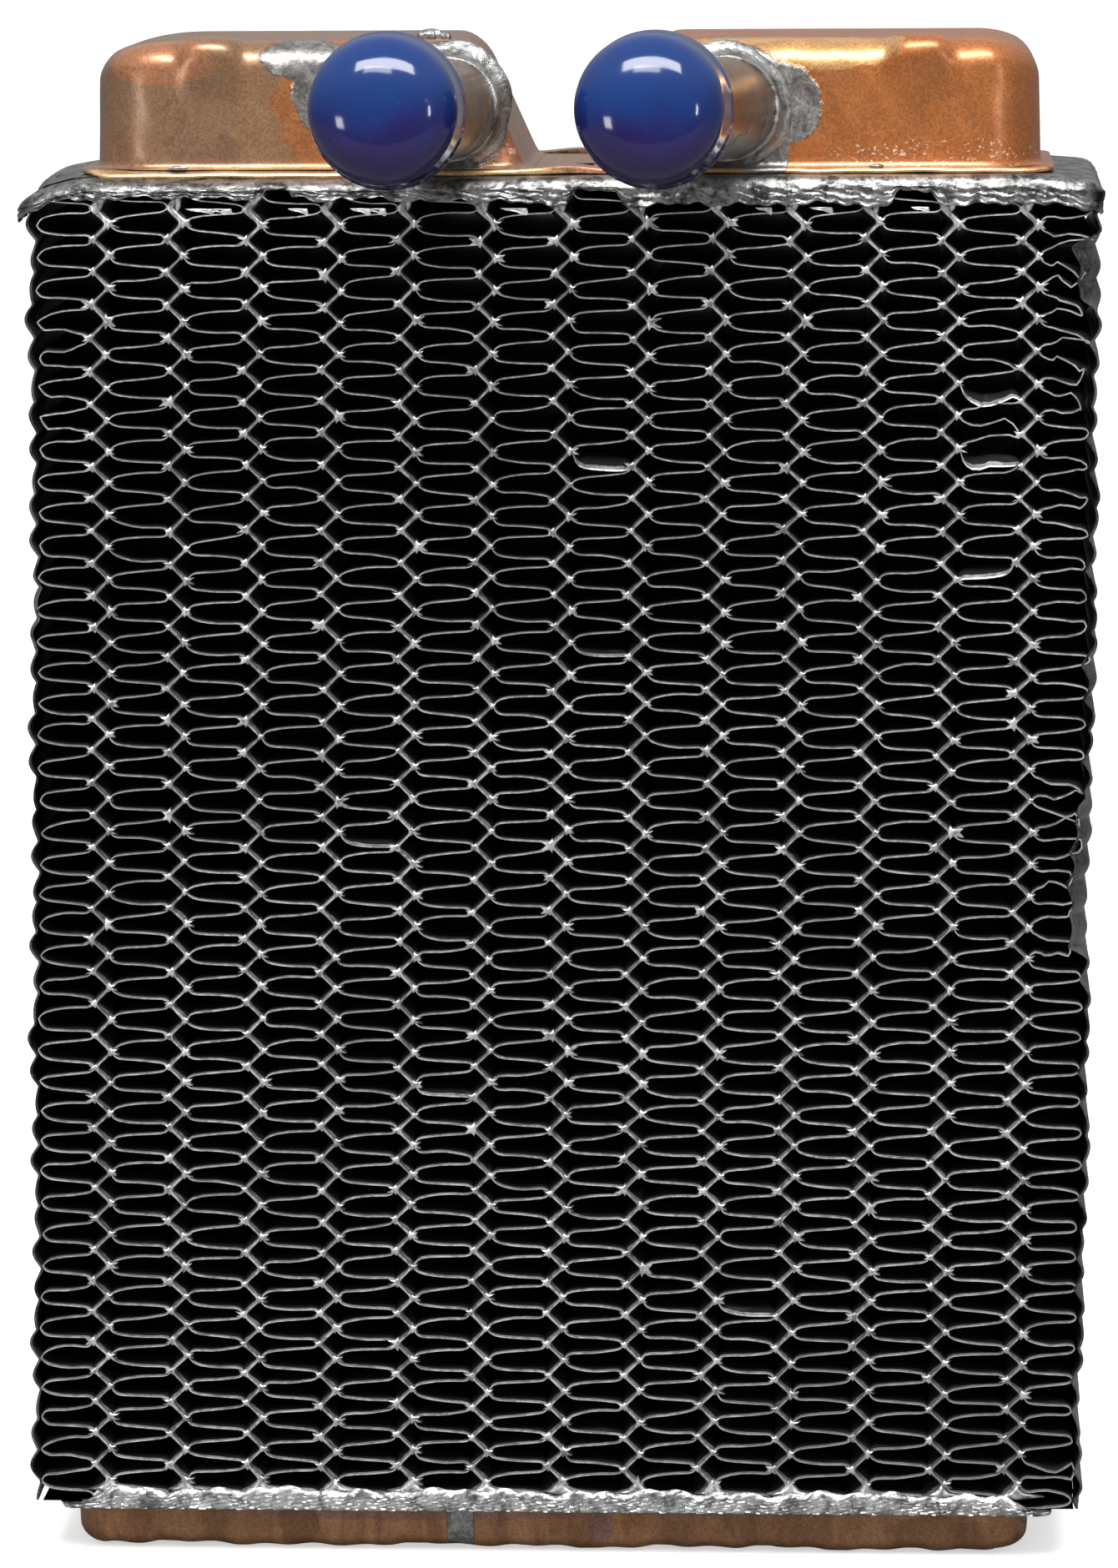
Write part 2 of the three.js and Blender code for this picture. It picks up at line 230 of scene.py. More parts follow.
def buildPatch():
    # one ragged oval patch at a place on the part
    inputs = {"Place": (0, 0, 0), "Centre": (0, 0, 0), "Size": (0.01, 0.01, 0.01), "Ragged": 0.4}
    group, given, result = newGroup("raggedPatch", inputs, {"Mask": 1})
    away = vectorNode(group, "SUBTRACT", given["Place"], given["Centre"])[0]
    share = vectorNode(group, "DIVIDE", away, given["Size"])[0]
    length = vectorNode(group, "LENGTH", share)["Value"]
    grain = noiseNode(group, given["Place"], 260.0, 5.0, 0.65)
    swing = mathNode(group, "MULTIPLY", mathNode(group, "SUBTRACT", grain, 0.5), given["Ragged"])
    edge = mathNode(group, "ADD", length, swing)
    plug(group, result, {"Mask": rampValue(group, edge, 1.04, 0.92)})


def buildSolderSkin():
    # tinned and flooded solder: grey, mottled, lumpy
    inputs = {"Place": (0, 0, 0), "Lump Scale": 220.0, "Dull": (0.2, 0.2, 0.2, 1),
              "Bright": (0.6, 0.6, 0.6, 1)}
    group, given, result = newGroup("solderSkin", inputs, {"Colour": 4, "Roughness": 1, "Height": 1})
    lumps = noiseNode(group, given["Place"], given["Lump Scale"], 4.0, 0.6, 0.8)
    fine = noiseNode(group, given["Place"], 1500.0, 3.0, 0.6)
    tone = mathNode(group, "ADD", mathNode(group, "MULTIPLY", lumps, 0.7),
                    mathNode(group, "MULTIPLY", fine, 0.3))
    colour = mixColour(group, rampValue(group, tone, 0.36, 0.62), given["Dull"], given["Bright"])
    height = mathNode(group, "ADD", lumps, mathNode(group, "MULTIPLY", fine, 0.15))
    plug(group, result, {"Colour": colour, "Roughness": mixValue(group, fine, 0.3, 0.5),
                         "Height": height})


def buildFaceBand():
    # how near a point is to the front or rear face of the core
    inputs = {"Place": (0, 0, 0), "Face": 0.0255, "Band": 0.001}
    group, given, result = newGroup("faceBand", inputs, {"Mask": 1})
    split = addNode(group, "ShaderNodeSeparateXYZ", {0: given["Place"]})
    under = mathNode(group, "SUBTRACT", given["Face"],
                     mathNode(group, "ABSOLUTE", split.outputs["Y"]))
    grain = noiseNode(group, given["Place"], 400.0, 3.0, 0.6)
    limit = mathNode(group, "MULTIPLY", given["Band"],
                     mathNode(group, "ADD", mathNode(group, "MULTIPLY", grain, 1.2), 0.4))
    share = mathNode(group, "DIVIDE", under, limit)
    plug(group, result, {"Mask": rampValue(group, share, 1.15, 0.6)})


buildBlotches()
buildPatch()
buildSolderSkin()
buildFaceBand()
print("node groups ready")


def newMaterial(name):
    material = bpy.data.materials.new(name)
    material.use_nodes = True
    tree = material.node_tree
    shader = tree.nodes["Principled BSDF"]
    place = tree.nodes.new("ShaderNodeTexCoord").outputs["Object"]
    return material, tree, shader, place


def addBump(tree, shader, height, distance):
    bump = addNode(tree, "ShaderNodeBump", {"Strength": 1.0, "Distance": distance, "Height": height})
    tree.links.new(bump.outputs[0], shader.inputs["Normal"])


def blotchMask(tree, place, scale, low, high):
    links = {"Place": place, "Scale": scale, "Low": low, "High": high}
    return useGroup(tree, "blotches", links).outputs["Mask"]


def patchMask(tree, place, centre, size, ragged):
    links = {"Place": place, "Centre": centre, "Size": size, "Ragged": ragged}
    return useGroup(tree, "raggedPatch", links).outputs["Mask"]


def solderCoat(tree, place, lumpScale, dull, bright):
    links = {"Place": place, "Lump Scale": lumpScale, "Dull": dull, "Bright": bright}
    return useGroup(tree, "solderSkin", links).outputs


def cellMaterial(name, band, dull, bright):
    # painted shade: near black inside the cells, where deep shade falls between the sheets; tinned where the sheet
    # was dipped at both faces
    material, tree, shader, place = newMaterial(name)
    skin = solderCoat(tree, place, 420.0, dull, bright)
    links = {"Place": place, "Face": coreFace, "Band": band}
    face = useGroup(tree, "faceBand", links).outputs["Mask"]
    # some parts of the core took less tin than others
    thin = blotchMask(tree, place, 22.0, 0.42, 0.66)
    worn = mixColour(tree, 0.7, skin["Colour"], mixColour(tree, thin, skin["Colour"], dull))
    # painted shade: the near black deep in the cells, with faint grey smears, stands in for the shade there
    smear = blotchMask(tree, place, 160.0, 0.55, 0.75)
    deep = mixColour(tree, smear, (0.006, 0.0058, 0.0055, 1), (0.03, 0.03, 0.03, 1))
    plug(tree, shader, {"Base Color": mixColour(tree, face, deep, worn),
                        "Metallic": mixValue(tree, face, 0.0, 0.85),
                        "Roughness": mixValue(tree, face, 0.75, skin["Roughness"]),
                        "Specular IOR Level": 0.25})
    addBump(tree, shader, skin["Height"], 0.00008)
    return material


def solderMaterial(name, dull, bright, lumpScale, bumpDepth):
    # dull and bright are greys, given as three numbers each
    material, tree, shader, place = newMaterial(name)
    skin = solderCoat(tree, place, lumpScale, (*dull, 1), (*bright, 1))
    plug(tree, shader, {"Base Color": skin["Colour"], "Roughness": skin["Roughness"], "Metallic": 0.9})
    addBump(tree, shader, skin["Height"], bumpDepth)
    return material


def copperMaterial(name, look):
    # drawn copper with heat tint, brown tarnish and patches of run solder
    material, tree, shader, place = newMaterial(name)
    tint = blotchMask(tree, place, look["tintScale"], 0.42, 0.62)
    colour = mixColour(tree, tint, look["base"], look["tint"])
    dark = mathNode(tree, "MULTIPLY", blotchMask(tree, place, 190.0, 0.55, 0.72), 0.55)
    colour = mixColour(tree, dark, colour, look["dark"])
    for centre, size, ragged, amount, hue in look["hues"]:
        mask = patchMask(tree, place, centre, size, ragged)
        colour = mixColour(tree, mathNode(tree, "MULTIPLY", mask, amount), colour, (*hue, 1))
    for centre, size, ragged in look["glints"]:
        # painted glints: small bright specks near the foot of the wall
        mask = patchMask(tree, place, centre, size, ragged)
        glint = mathNode(tree, "MULTIPLY", mask, blotchMask(tree, place, 1300.0, 0.59, 0.63))
        colour = mixColour(tree, glint, colour, (0.75, 0.58, 0.42, 1))
    skin = solderCoat(tree, place, 300.0, (0.13, 0.13, 0.13, 1), (0.36, 0.36, 0.355, 1))
    run = 0.0
    for centre, size, ragged in look["solder"]:
        run = mathNode(tree, "MAXIMUM", run, patchMask(tree, place, centre, size, ragged))
    colour = mixColour(tree, run, colour, skin["Colour"])
    stretched = vectorNode(tree, "MULTIPLY", place, look["streak"])[0]
    streaks = rampValue(tree, noiseNode(tree, stretched, 160.0, 4.0, 0.6, 0.6), 0.36, 0.64)
    streaks = mathNode(tree, "MULTIPLY", streaks, look["streaked"])
    colour = mixColour(tree, streaks, colour, look["dark"])
    grain = noiseNode(tree, place, 900.0, 4.0, 0.6)
    speck = rampValue(tree, noiseNode(tree, place, 2600.0, 2.0, 0.6), 0.3, 0.7)
    speckTone = mixColour(tree, speck, (0.7, 0.7, 0.72, 1), (1.18, 1.15, 1.1, 1))
    rough = mixValue(tree, run, mixValue(tree, grain, *look["rough"]), skin["Roughness"])
    height = mathNode(tree, "ADD", mathNode(tree, "MULTIPLY", grain, 0.25), run)
    height = mathNode(tree, "ADD", height, mathNode(tree, "MULTIPLY", skin["Height"], run))
    plug(tree, shader, {"Base Color": mixColour(tree, 1.0, colour, speckTone, "MULTIPLY"),
                        "Roughness": rough, "Metallic": mixValue(tree, run, look["metal"], 0.85),
                        "Coat Weight": look["lacquer"], "Coat Roughness": 0.26})
    addBump(tree, shader, height, 0.00014)
    return material


def plasticMaterial(name, look):
    # soft moulded plastic with faint scuffs and dust, blue above; the darker violet below is painted shade and a
    # painted reflection of the dark surroundings
    material, tree, shader, place = newMaterial(name)
    cloud = noiseNode(tree, place, 120.0, 3.0, 0.5)
    colour = mixColour(tree, cloud, look["deep"], look["base"])
    split = addNode(tree, "ShaderNodeSeparateXYZ", {0: place})
    wander = mathNode(tree, "MULTIPLY", mathNode(tree, "SUBTRACT", cloud, 0.5), 0.012)
    height = mathNode(tree, "ADD", split.outputs["Z"], wander)
    # painted shade: below the middle height the cap turns dark violet, standing in for shade and the dark
    # surroundings it mirrors
    lower = rampValue(tree, height, look["middle"] + look["half"], look["middle"] - look["half"])
    colour = mixColour(tree, lower, colour, look["low"])
    dust = mathNode(tree, "MULTIPLY", blotchMask(tree, place, 700.0, 0.66, 0.74), 0.12)
    scuff = noiseNode(tree, place, 350.0, 5.0, 0.65, 0.6)
    plug(tree, shader, {"Base Color": mixColour(tree, dust, colour, look["dust"]),
                        "Roughness": mixValue(tree, scuff, 0.06, 0.16), "IOR": 1.5,
                        "Specular IOR Level": 0.36, "Coat Weight": 0.12, "Coat Roughness": 0.04})
    addBump(tree, shader, noiseNode(tree, place, 70.0, 2.0, 0.5), 0.00025)
    return material


seamSolder = solderMaterial("seam_solder", (0.2, 0.2, 0.2), (0.7, 0.7, 0.69), 500.0, 0.0001)
floodSolder = solderMaterial("flooded_solder", (0.1, 0.1, 0.1), (0.36, 0.36, 0.35), 240.0, 0.0004)
flagSolder = solderMaterial("solder_flag", (0.55, 0.55, 0.55), (0.85, 0.85, 0.84), 120.0, 0.00015)
lipSolder = solderMaterial("lip_solder", (0.045, 0.045, 0.045), (0.27, 0.27, 0.262), 330.0, 0.00025)
footSolder = solderMaterial("foot_solder", (0.13, 0.13, 0.13), (0.56, 0.56, 0.55), 300.0, 0.0004)
# painted shade: the end sheets are near black, standing in for their shaded sides
shadedStripSkin = solderMaterial("side_strip_sheet", (0.012, 0.012, 0.012), (0.16, 0.16, 0.155), 90.0, 0.0002)
tubeSkin = cellMaterial("tube_sheet", 0.0016, (0.22, 0.22, 0.22, 1), (0.72, 0.72, 0.72, 1))
finSkin = cellMaterial("fin_sheet", 0.0008, (0.36, 0.36, 0.36, 1), (0.88, 0.88, 0.88, 1))
print("metal finishes ready")


# the core: corrugated water tubes, fins and side strips
plate = {"shift": 1.0, "droopLeft": 3.0, "droopRight": 1.3, "start": 2.5}


def plateSag(x, y):
    # how far the ends of the top plate hang down past the tank
    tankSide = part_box("top_tank")[1].x - plate["start"] * mm
    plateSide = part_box("top_header_plate")[1].x
    x = x + plate["shift"] * mm
    sag = np.where(x < 0, plate["droopLeft"], plate["droopRight"]) * mm
    over = np.clip((np.abs(x) - tankSide) / (plateSide - tankSide), 0, 1.1)
    return sag * over ** 1.4 * (0.6 + 0.4 * smoothStep(-y, -0.02, 0.02))


core = {
    "folds": 42,
    "firstCrest": 0.29,  # folds from the top plate to the first right-hand crest
    "waveDepth": 1.05,  # mm, half of a seam's wave
    "stripWave": 0.45,
    "stripInset": 0.75,  # mm, from the sheet's middle to the side of the core
    "seamHalf": 0.3,  # mm, half thickness of the folded seam at the faces
    "wallHalf": 0.85,  # mm, half thickness where the tube opens behind its seam
    "finHalf": 0.12,
    "finInner": 0.09,
    "stripHalf": 0.2,
}
foldPitch = (coreTop - coreBase) / core["folds"]
lastTube = len(tubeX) - 1


def foldDrift(i, z):
    return irregular["drift"] * mm * waves(z, (90, 37), 100 + i)


def wallCentre(i, z):
    # i runs from -1, the left strip, through the tubes to the right strip
    if i < 0:
        return leftStrip[0].x + core["stripInset"] * mm + 0.25 * mm * waves(z, (60, 23), 60)
    if i > lastTube:
        return rightStrip[1].x - core["stripInset"] * mm + 0.35 * mm * waves(z, (80, 27), 61)
    return tubeX[i] + irregular["sway"] * mm * waves(z, (75, 31), 30 + i)


def wallWave(i, z):
    phase = turnRound * ((coreTop - z + foldDrift(i, z)) / foldPitch - core["firstCrest"])
    if i < 0:
        # the end sheets bulge outwards between the fins that hold them
        return core["stripWave"] * mm * (1 - 2 * np.abs(np.sin(phase / 2)))
    if i > lastTube:
        return core["stripWave"] * mm * (2 * np.abs(np.cos(phase / 2)) - 1)
    return core["waveDepth"] * mm * (np.cos(phase) + 0.06 * np.cos(3 * phase)) / 1.06


def crestPoint(i, k, left):
    # where a fin meets wall i: its right-hand crest, or its left-hand one half a fold lower
    z = coreTop - (k + core["firstCrest"] + (0.5 if left else 0.0)) * foldPitch
    z = z + foldDrift(i, z)
    depth = core["stripWave"] if i < 0 or i > lastTube else core["waveDepth"]
    half = core["stripHalf"] if i < 0 or i > lastTube else core["seamHalf"]
    reach = (depth + half + 0.05) * mm
    return wallCentre(i, z) + (-reach if left else reach), z


def depthRows(steps):
    # distances below the faces, turned into rows from the front face to the rear one
    rows = [-coreFace + s * mm for s in steps]
    return np.array(rows + [0.0] + [-y for y in reversed(rows)])


crush = {
    # column, lowest and highest z in mm, how strong
    "zones": [(13, 184, 219, 1.0), (13, 96, 133, 1.0), (13, 150, 184, 0.35), (13, 9, 20, 0.8),
              (0, 178, 204, 0.35), (0, 12, 24, 0.3), (12, 174, 196, 0.75)],
    "flaps": [(7, 180.6, 1.9), (12, 190.0, 1.6), (12, 180.5, 2.0), (12, 163.0, 1.5),
              (4, 118.0, 0.7), (9, 42.0, 0.8), (7, 150.0, 0.6), (5, 78.0, 0.6)],
    "flapReach": 5,  # points to each side of a flap's middle
    "reach": 4.5,  # mm, how deep the dents go
}


def finPath(column):
    # points of one serpentine strip from top to bottom: x, z, share of the way across
    steps = np.array([0.0, 0.035, 0.08, 0.14, 0.23, 0.38, 0.55, 0.72, 0.86, 0.93, 0.975])
    draw = np.random.default_rng(500 + column)
    xs, zs, across = [], [], []
    for k in range(-2, core["folds"] + 2):
        for down in (True, False):
            left = crestPoint(column - 1, k if down else k + 1, False)
            right = crestPoint(column, k, True)
            # a quick start out of the left crest, a slow slope, a hook at the right one
            tight = draw.uniform(0.045, 0.09)
            hook = draw.uniform(0.22, 0.36)
            level = (0.5 if down else 0.42) + draw.normal(0, 0.06)
            bow = draw.normal(0, 0.17) * mm
            s = steps if down else 1 - steps
            closing = np.clip((s - 0.84) / 0.16, 0, 1)
            rise = level * (1 - np.exp(-s / tight)) + (1 - level - hook) * s
            rise = rise + hook * (1 - np.sqrt(1 - closing ** 2 * 0.98))
            xs.append(left[0] + (right[0] - left[0]) * s)
            zs.append(left[1] + (right[1] - left[1]) * rise + bow * np.sin(math.pi * s) ** 2)
            across.append(s)
    return np.concatenate(xs), np.concatenate(zs), np.concatenate(across)


def stretch(z, low, high, soft):
    # 1 between two heights in mm, fading out at both ends
    return smoothStep(z, low * mm, (low + soft) * mm) * (1 - smoothStep(z, (high - soft) * mm, high * mm))


def sheetRings(x, z, stepX, stepZ, rows):
    # a bent sheet's two faces, from its middle line, half its thickness and its depths
    right, left = (np.stack(np.broadcast_arrays(x + side * stepX, rows, z + side * stepZ), -1)
                   for side in (1, -1))
    return np.concatenate([right, left[:, ::-1]], 1)


def jagged(count, every, seed):
    # broken-line noise for crumpled sheet
    draw = np.random.default_rng(seed)
    knots = draw.uniform(-1, 1, count // every + 3)
    return np.interp(np.arange(count) / every, np.arange(len(knots)), knots)


def makeFin(column, name):
    x, z, across = finPath(column)
    keep = (z > coreBase - foldPitch) & (z < coreTop + foldPitch)
    x, z, across = x[keep], z[keep], across[keep]
    rows = depthRows([0.0, 0.12, 0.9, 2.6, 6.0])
    below = coreFace - np.abs(rows)
    half = np.where(below < 0.05 * mm, 0.6 * core["finHalf"], core["finHalf"]) * mm
    half = np.where(below > 2 * mm, core["finInner"] * mm, half)
    crushX, crushZ, flapZ = np.zeros((3, len(x)))
    for number, (where, low, high, strength) in enumerate(crush["zones"]):
        if where != column:
            continue
        side = across if column > 0 else 1 - across
        zone = stretch(z, low, high, 3) * smoothStep(side, 0.12, 0.6) * strength
        crushZ += zone * 1.7 * mm * jagged(len(x), 3, 700 + number)
        pull = 1.5 * mm * (0.6 + 0.9 * jagged(len(x), 4, 730 + number))
        crushX += zone * pull * (-1 if column > 0 else 1)
    for where, level, size in crush["flaps"]:
        if where != column:
            continue
        nearest = np.argmin(np.abs(z - level * mm) + 0.004 * np.abs(across - 0.5))
        lane = np.abs(np.arange(len(x)) - nearest) / crush["flapReach"]
        flapZ -= size * mm * np.where(lane < 1, np.cos(np.minimum(lane, 1) * math.pi / 2) ** 0.7, 0)
    fadeFront = np.exp(-((rows + coreFace) / (crush["reach"] * mm)) ** 2)
    fadeFlap = np.clip(1 - (rows + coreFace) / (2.6 * mm), 0, 1)
    px = x[:, None] + crushX[:, None] * fadeFront
    pz = z[:, None] + crushZ[:, None] * fadeFront + flapZ[:, None] * fadeFlap
    # normals of the strip's line at each row
    dx = np.gradient(px, axis=0)
    dz = np.gradient(pz, axis=0)
    length = np.hypot(dx, dz) + 1e-9
    nx, nz = -dz / length, dx / length
    rings = sheetRings(px, pz, nx * half, nz * half, rows)
    roof = coreTop - 0.05 * mm - plateSag(rings[..., 0], rings[..., 1]) * 1.05
    rings[..., 2] = np.clip(rings[..., 2], coreBase + 0.05 * mm, roof)
    parts = newParts()
    addLoft(parts, rings)
    return makePiece(name + "_pleats", parts, assembly, [name], [finSkin], sharp=50)


def gussetBlock(parts, centre, points, front, deep, proud, slot):
    # a lump of solder: an outline in the face's plane, domed in front, running back inside
    sign = -1 if front else 1
    outline = np.array(points)
    rings = []
    for grow, below in ((0.35, -proud), (0.8, -0.45 * proud), (1.0, 0.12), (0.92, 0.6 * deep), (0.4, deep)):
        flat = np.array(centre) + outline * grow * mm
        rings.append(np.insert(flat, 1, sign * (coreFace - below * mm), axis=1))
    addLoft(parts, np.array(rings), slot)


def crestGussets(parts, i):
    # solder webs where the fins on both sides meet the crests of tube i
    draw = np.random.default_rng(900 + i)
    for k in range(0, core["folds"]):
        for left in (False, True):
            x, z = crestPoint(i, k, left)
            if not coreBase + 3.2 * mm < z < coreTop - 4.8 * mm:
                continue
            side = -1 if left else 1
            for front in (True, False):
                nearTop = 0.35 * math.exp(-(coreTop - z) / (14 * mm))
                size = draw.uniform(0.75, 1.25) + nearTop
                if draw.random() < 0.07:
                    size *= 1.4
                reach = draw.uniform(0.6, 1.25) * size
                spread = 0.42 * size
                hollow = draw.uniform(0.25, 0.75) * reach
                outline = [(-0.55, 0.35 * size), (-0.62, 0.0), (-0.55, -0.35 * size), (-0.3, -0.75 * size),
                           (0.12, -0.42 * size), (reach, -spread - 0.1), (hollow, -0.06),
                           (hollow, 0.06), (reach, spread + 0.1), (0.12, 0.42 * size),
                           (-0.3, 0.75 * size)]
                outline = [(a * side, b) for a, b in outline]
                gussetBlock(parts, (x, z), outline, front, 2.4, 0.08 + 0.1 * draw.random(), 1)


def makeTube(i, name):
    count = core["folds"] * 12
    z = np.linspace(coreBase, coreTop, count + 1)
    rows = depthRows([0.0, 0.14, 1.3, 3.2])
    below = coreFace - np.abs(rows)
    half = np.where(below < 0.05 * mm, 0.7 * core["seamHalf"], core["seamHalf"]) * mm
    half = np.where(below > 3 * mm, core["wallHalf"] * mm, half)
    centre = wallCentre(i, z) + wallWave(i, z)
    thick = 1 + 0.18 * waves(z, (9, 4.1), 300 + i)
    # the seam spreads where it meets the flooded plates
    thick = thick + 1.3 * np.exp(-((coreTop - 4.6 * mm - z) / (2.2 * mm)).clip(0) ** 2)
    thick = thick + 0.9 * np.exp(-((z - coreBase - 2.9 * mm) / (1.6 * mm)).clip(0) ** 2)
    parts = newParts()
    addLoft(parts, sheetRings(centre[:, None], z[:, None], thick[:, None] * half, 0.0, rows))
    crestGussets(parts, i)
    return makePiece(name + "_corrugated", parts, assembly, [name],
                     [tubeSkin, seamSolder], sharp=50)


def makeStrip(i, name, bends):
    # thin end sheet that follows the crests, with its front edge knocked about
    count = core["folds"] * 12
    z = np.linspace(coreBase + 0.1 * mm, coreTop - 0.1 * mm, count + 1)
    rows = depthRows([0.0, 0.12, 1.2, 3.0, 5.0, 8.0])
    below = rows + coreFace
    centre = (wallCentre(i, z) + wallWave(i, z))[:, None] + np.zeros_like(rows)
    dent = 0.35 * mm * waves(z, (17, 7.3), 400 + i)[:, None] * np.exp(-(below / (5 * mm)) ** 2)
    centre = centre + dent
    for low, high, inwards in bends:
        fold = np.clip(1 - below / (4.5 * mm), 0, 1) ** 1.3
        bend = stretch(z, low, high, 2.5)[:, None] * fold * inwards * mm
        centre = centre + bend * (1 if i < 0 else -1)
    rings = sheetRings(centre, z[:, None], core["stripHalf"] * mm, 0.0, rows)
    roof = rings[-1, :, 2] - plateSag(rings[-1, :, 0], rings[-1, :, 1]) * 1.05
    rings[..., 2] = coreBase + (rings[..., 2] - coreBase) * (roof - coreBase) / (coreTop - coreBase)
    parts = newParts()
    addLoft(parts, rings)
    return makePiece(name + "_sheet", parts, assembly, [name], [shadedStripSkin], sharp=50)


for i, name in enumerate(tubeNames):
    makeTube(i, name)
print("water tubes ready")
for column, name in enumerate(finNames):
    makeFin(column, name)
print("fins ready")
makeStrip(-1, "side_strip_left", [(150, 163, 0.8)])
makeStrip(lastTube + 1, "side_strip_right", [(204, 217, 3.0), (100, 127, 2.2), (140, 152, 1.0)])
print("side strips ready")


def roundedLoop(halfX, halfY, radii, cornerSteps, spacing):
    # closed outline, counter-clockwise from the right end, with its outward normals;
    # radii: right-back, left-back, left-front, right-front
    corners = []
    for n, (radius, (sx, sy)) in enumerate(zip(radii, ((1, 1), (-1, 1), (-1, -1), (1, -1)))):
        turn = np.radians(90 * (n + np.arange(cornerSteps + 1) / cornerSteps))
        normal = np.stack([np.cos(turn), np.sin(turn)], -1)
        middle = np.array((sx * (halfX - radius), sy * (halfY - radius)))
        corners.append(np.concatenate([middle + radius * normal, normal], 1))
    line = []
    for corner, following in zip(corners, corners[1:] + corners[:1]):
        # the straight side up to the next corner
        here, there = corner[-1], following[0]
        pieces = max(1, round(math.dist(here[:2], there[:2]) / spacing))
        share = np.arange(pieces)[:, None] / pieces
        line += [corner[:-1], here + (there - here) * share]
    line = np.concatenate(line)
    return line[:, :2], line[:, 2:]


def profileLoft(loop, out, profile):
    # profile: pairs of outward offset and height; gives rings round the loop
    return np.array([np.insert(loop + out * offset, 2, height, axis=1) for offset, height in profile])


def quarterTurn(offset, level, radius, angles, way=1):
    # a rounded edge: pairs of offset and level that curve inwards, up or down
    turns = np.radians(angles)
    return [(offset - radius * (1 - math.cos(t)), level + way * radius * math.sin(t)) for t in turns]


topHeader = {
    "ridges": 0.2, "arch": 0.75, "flags": 11, "raised": 0.7, "raisedLeft": 1.2, "lowLeft": 0.8,
    "gaps": [(-44.7, 2.7, 2.0), (5.9, 4.0, 1.9), (56.0, 3.2, 1.8)],  # middle, half width, height
}


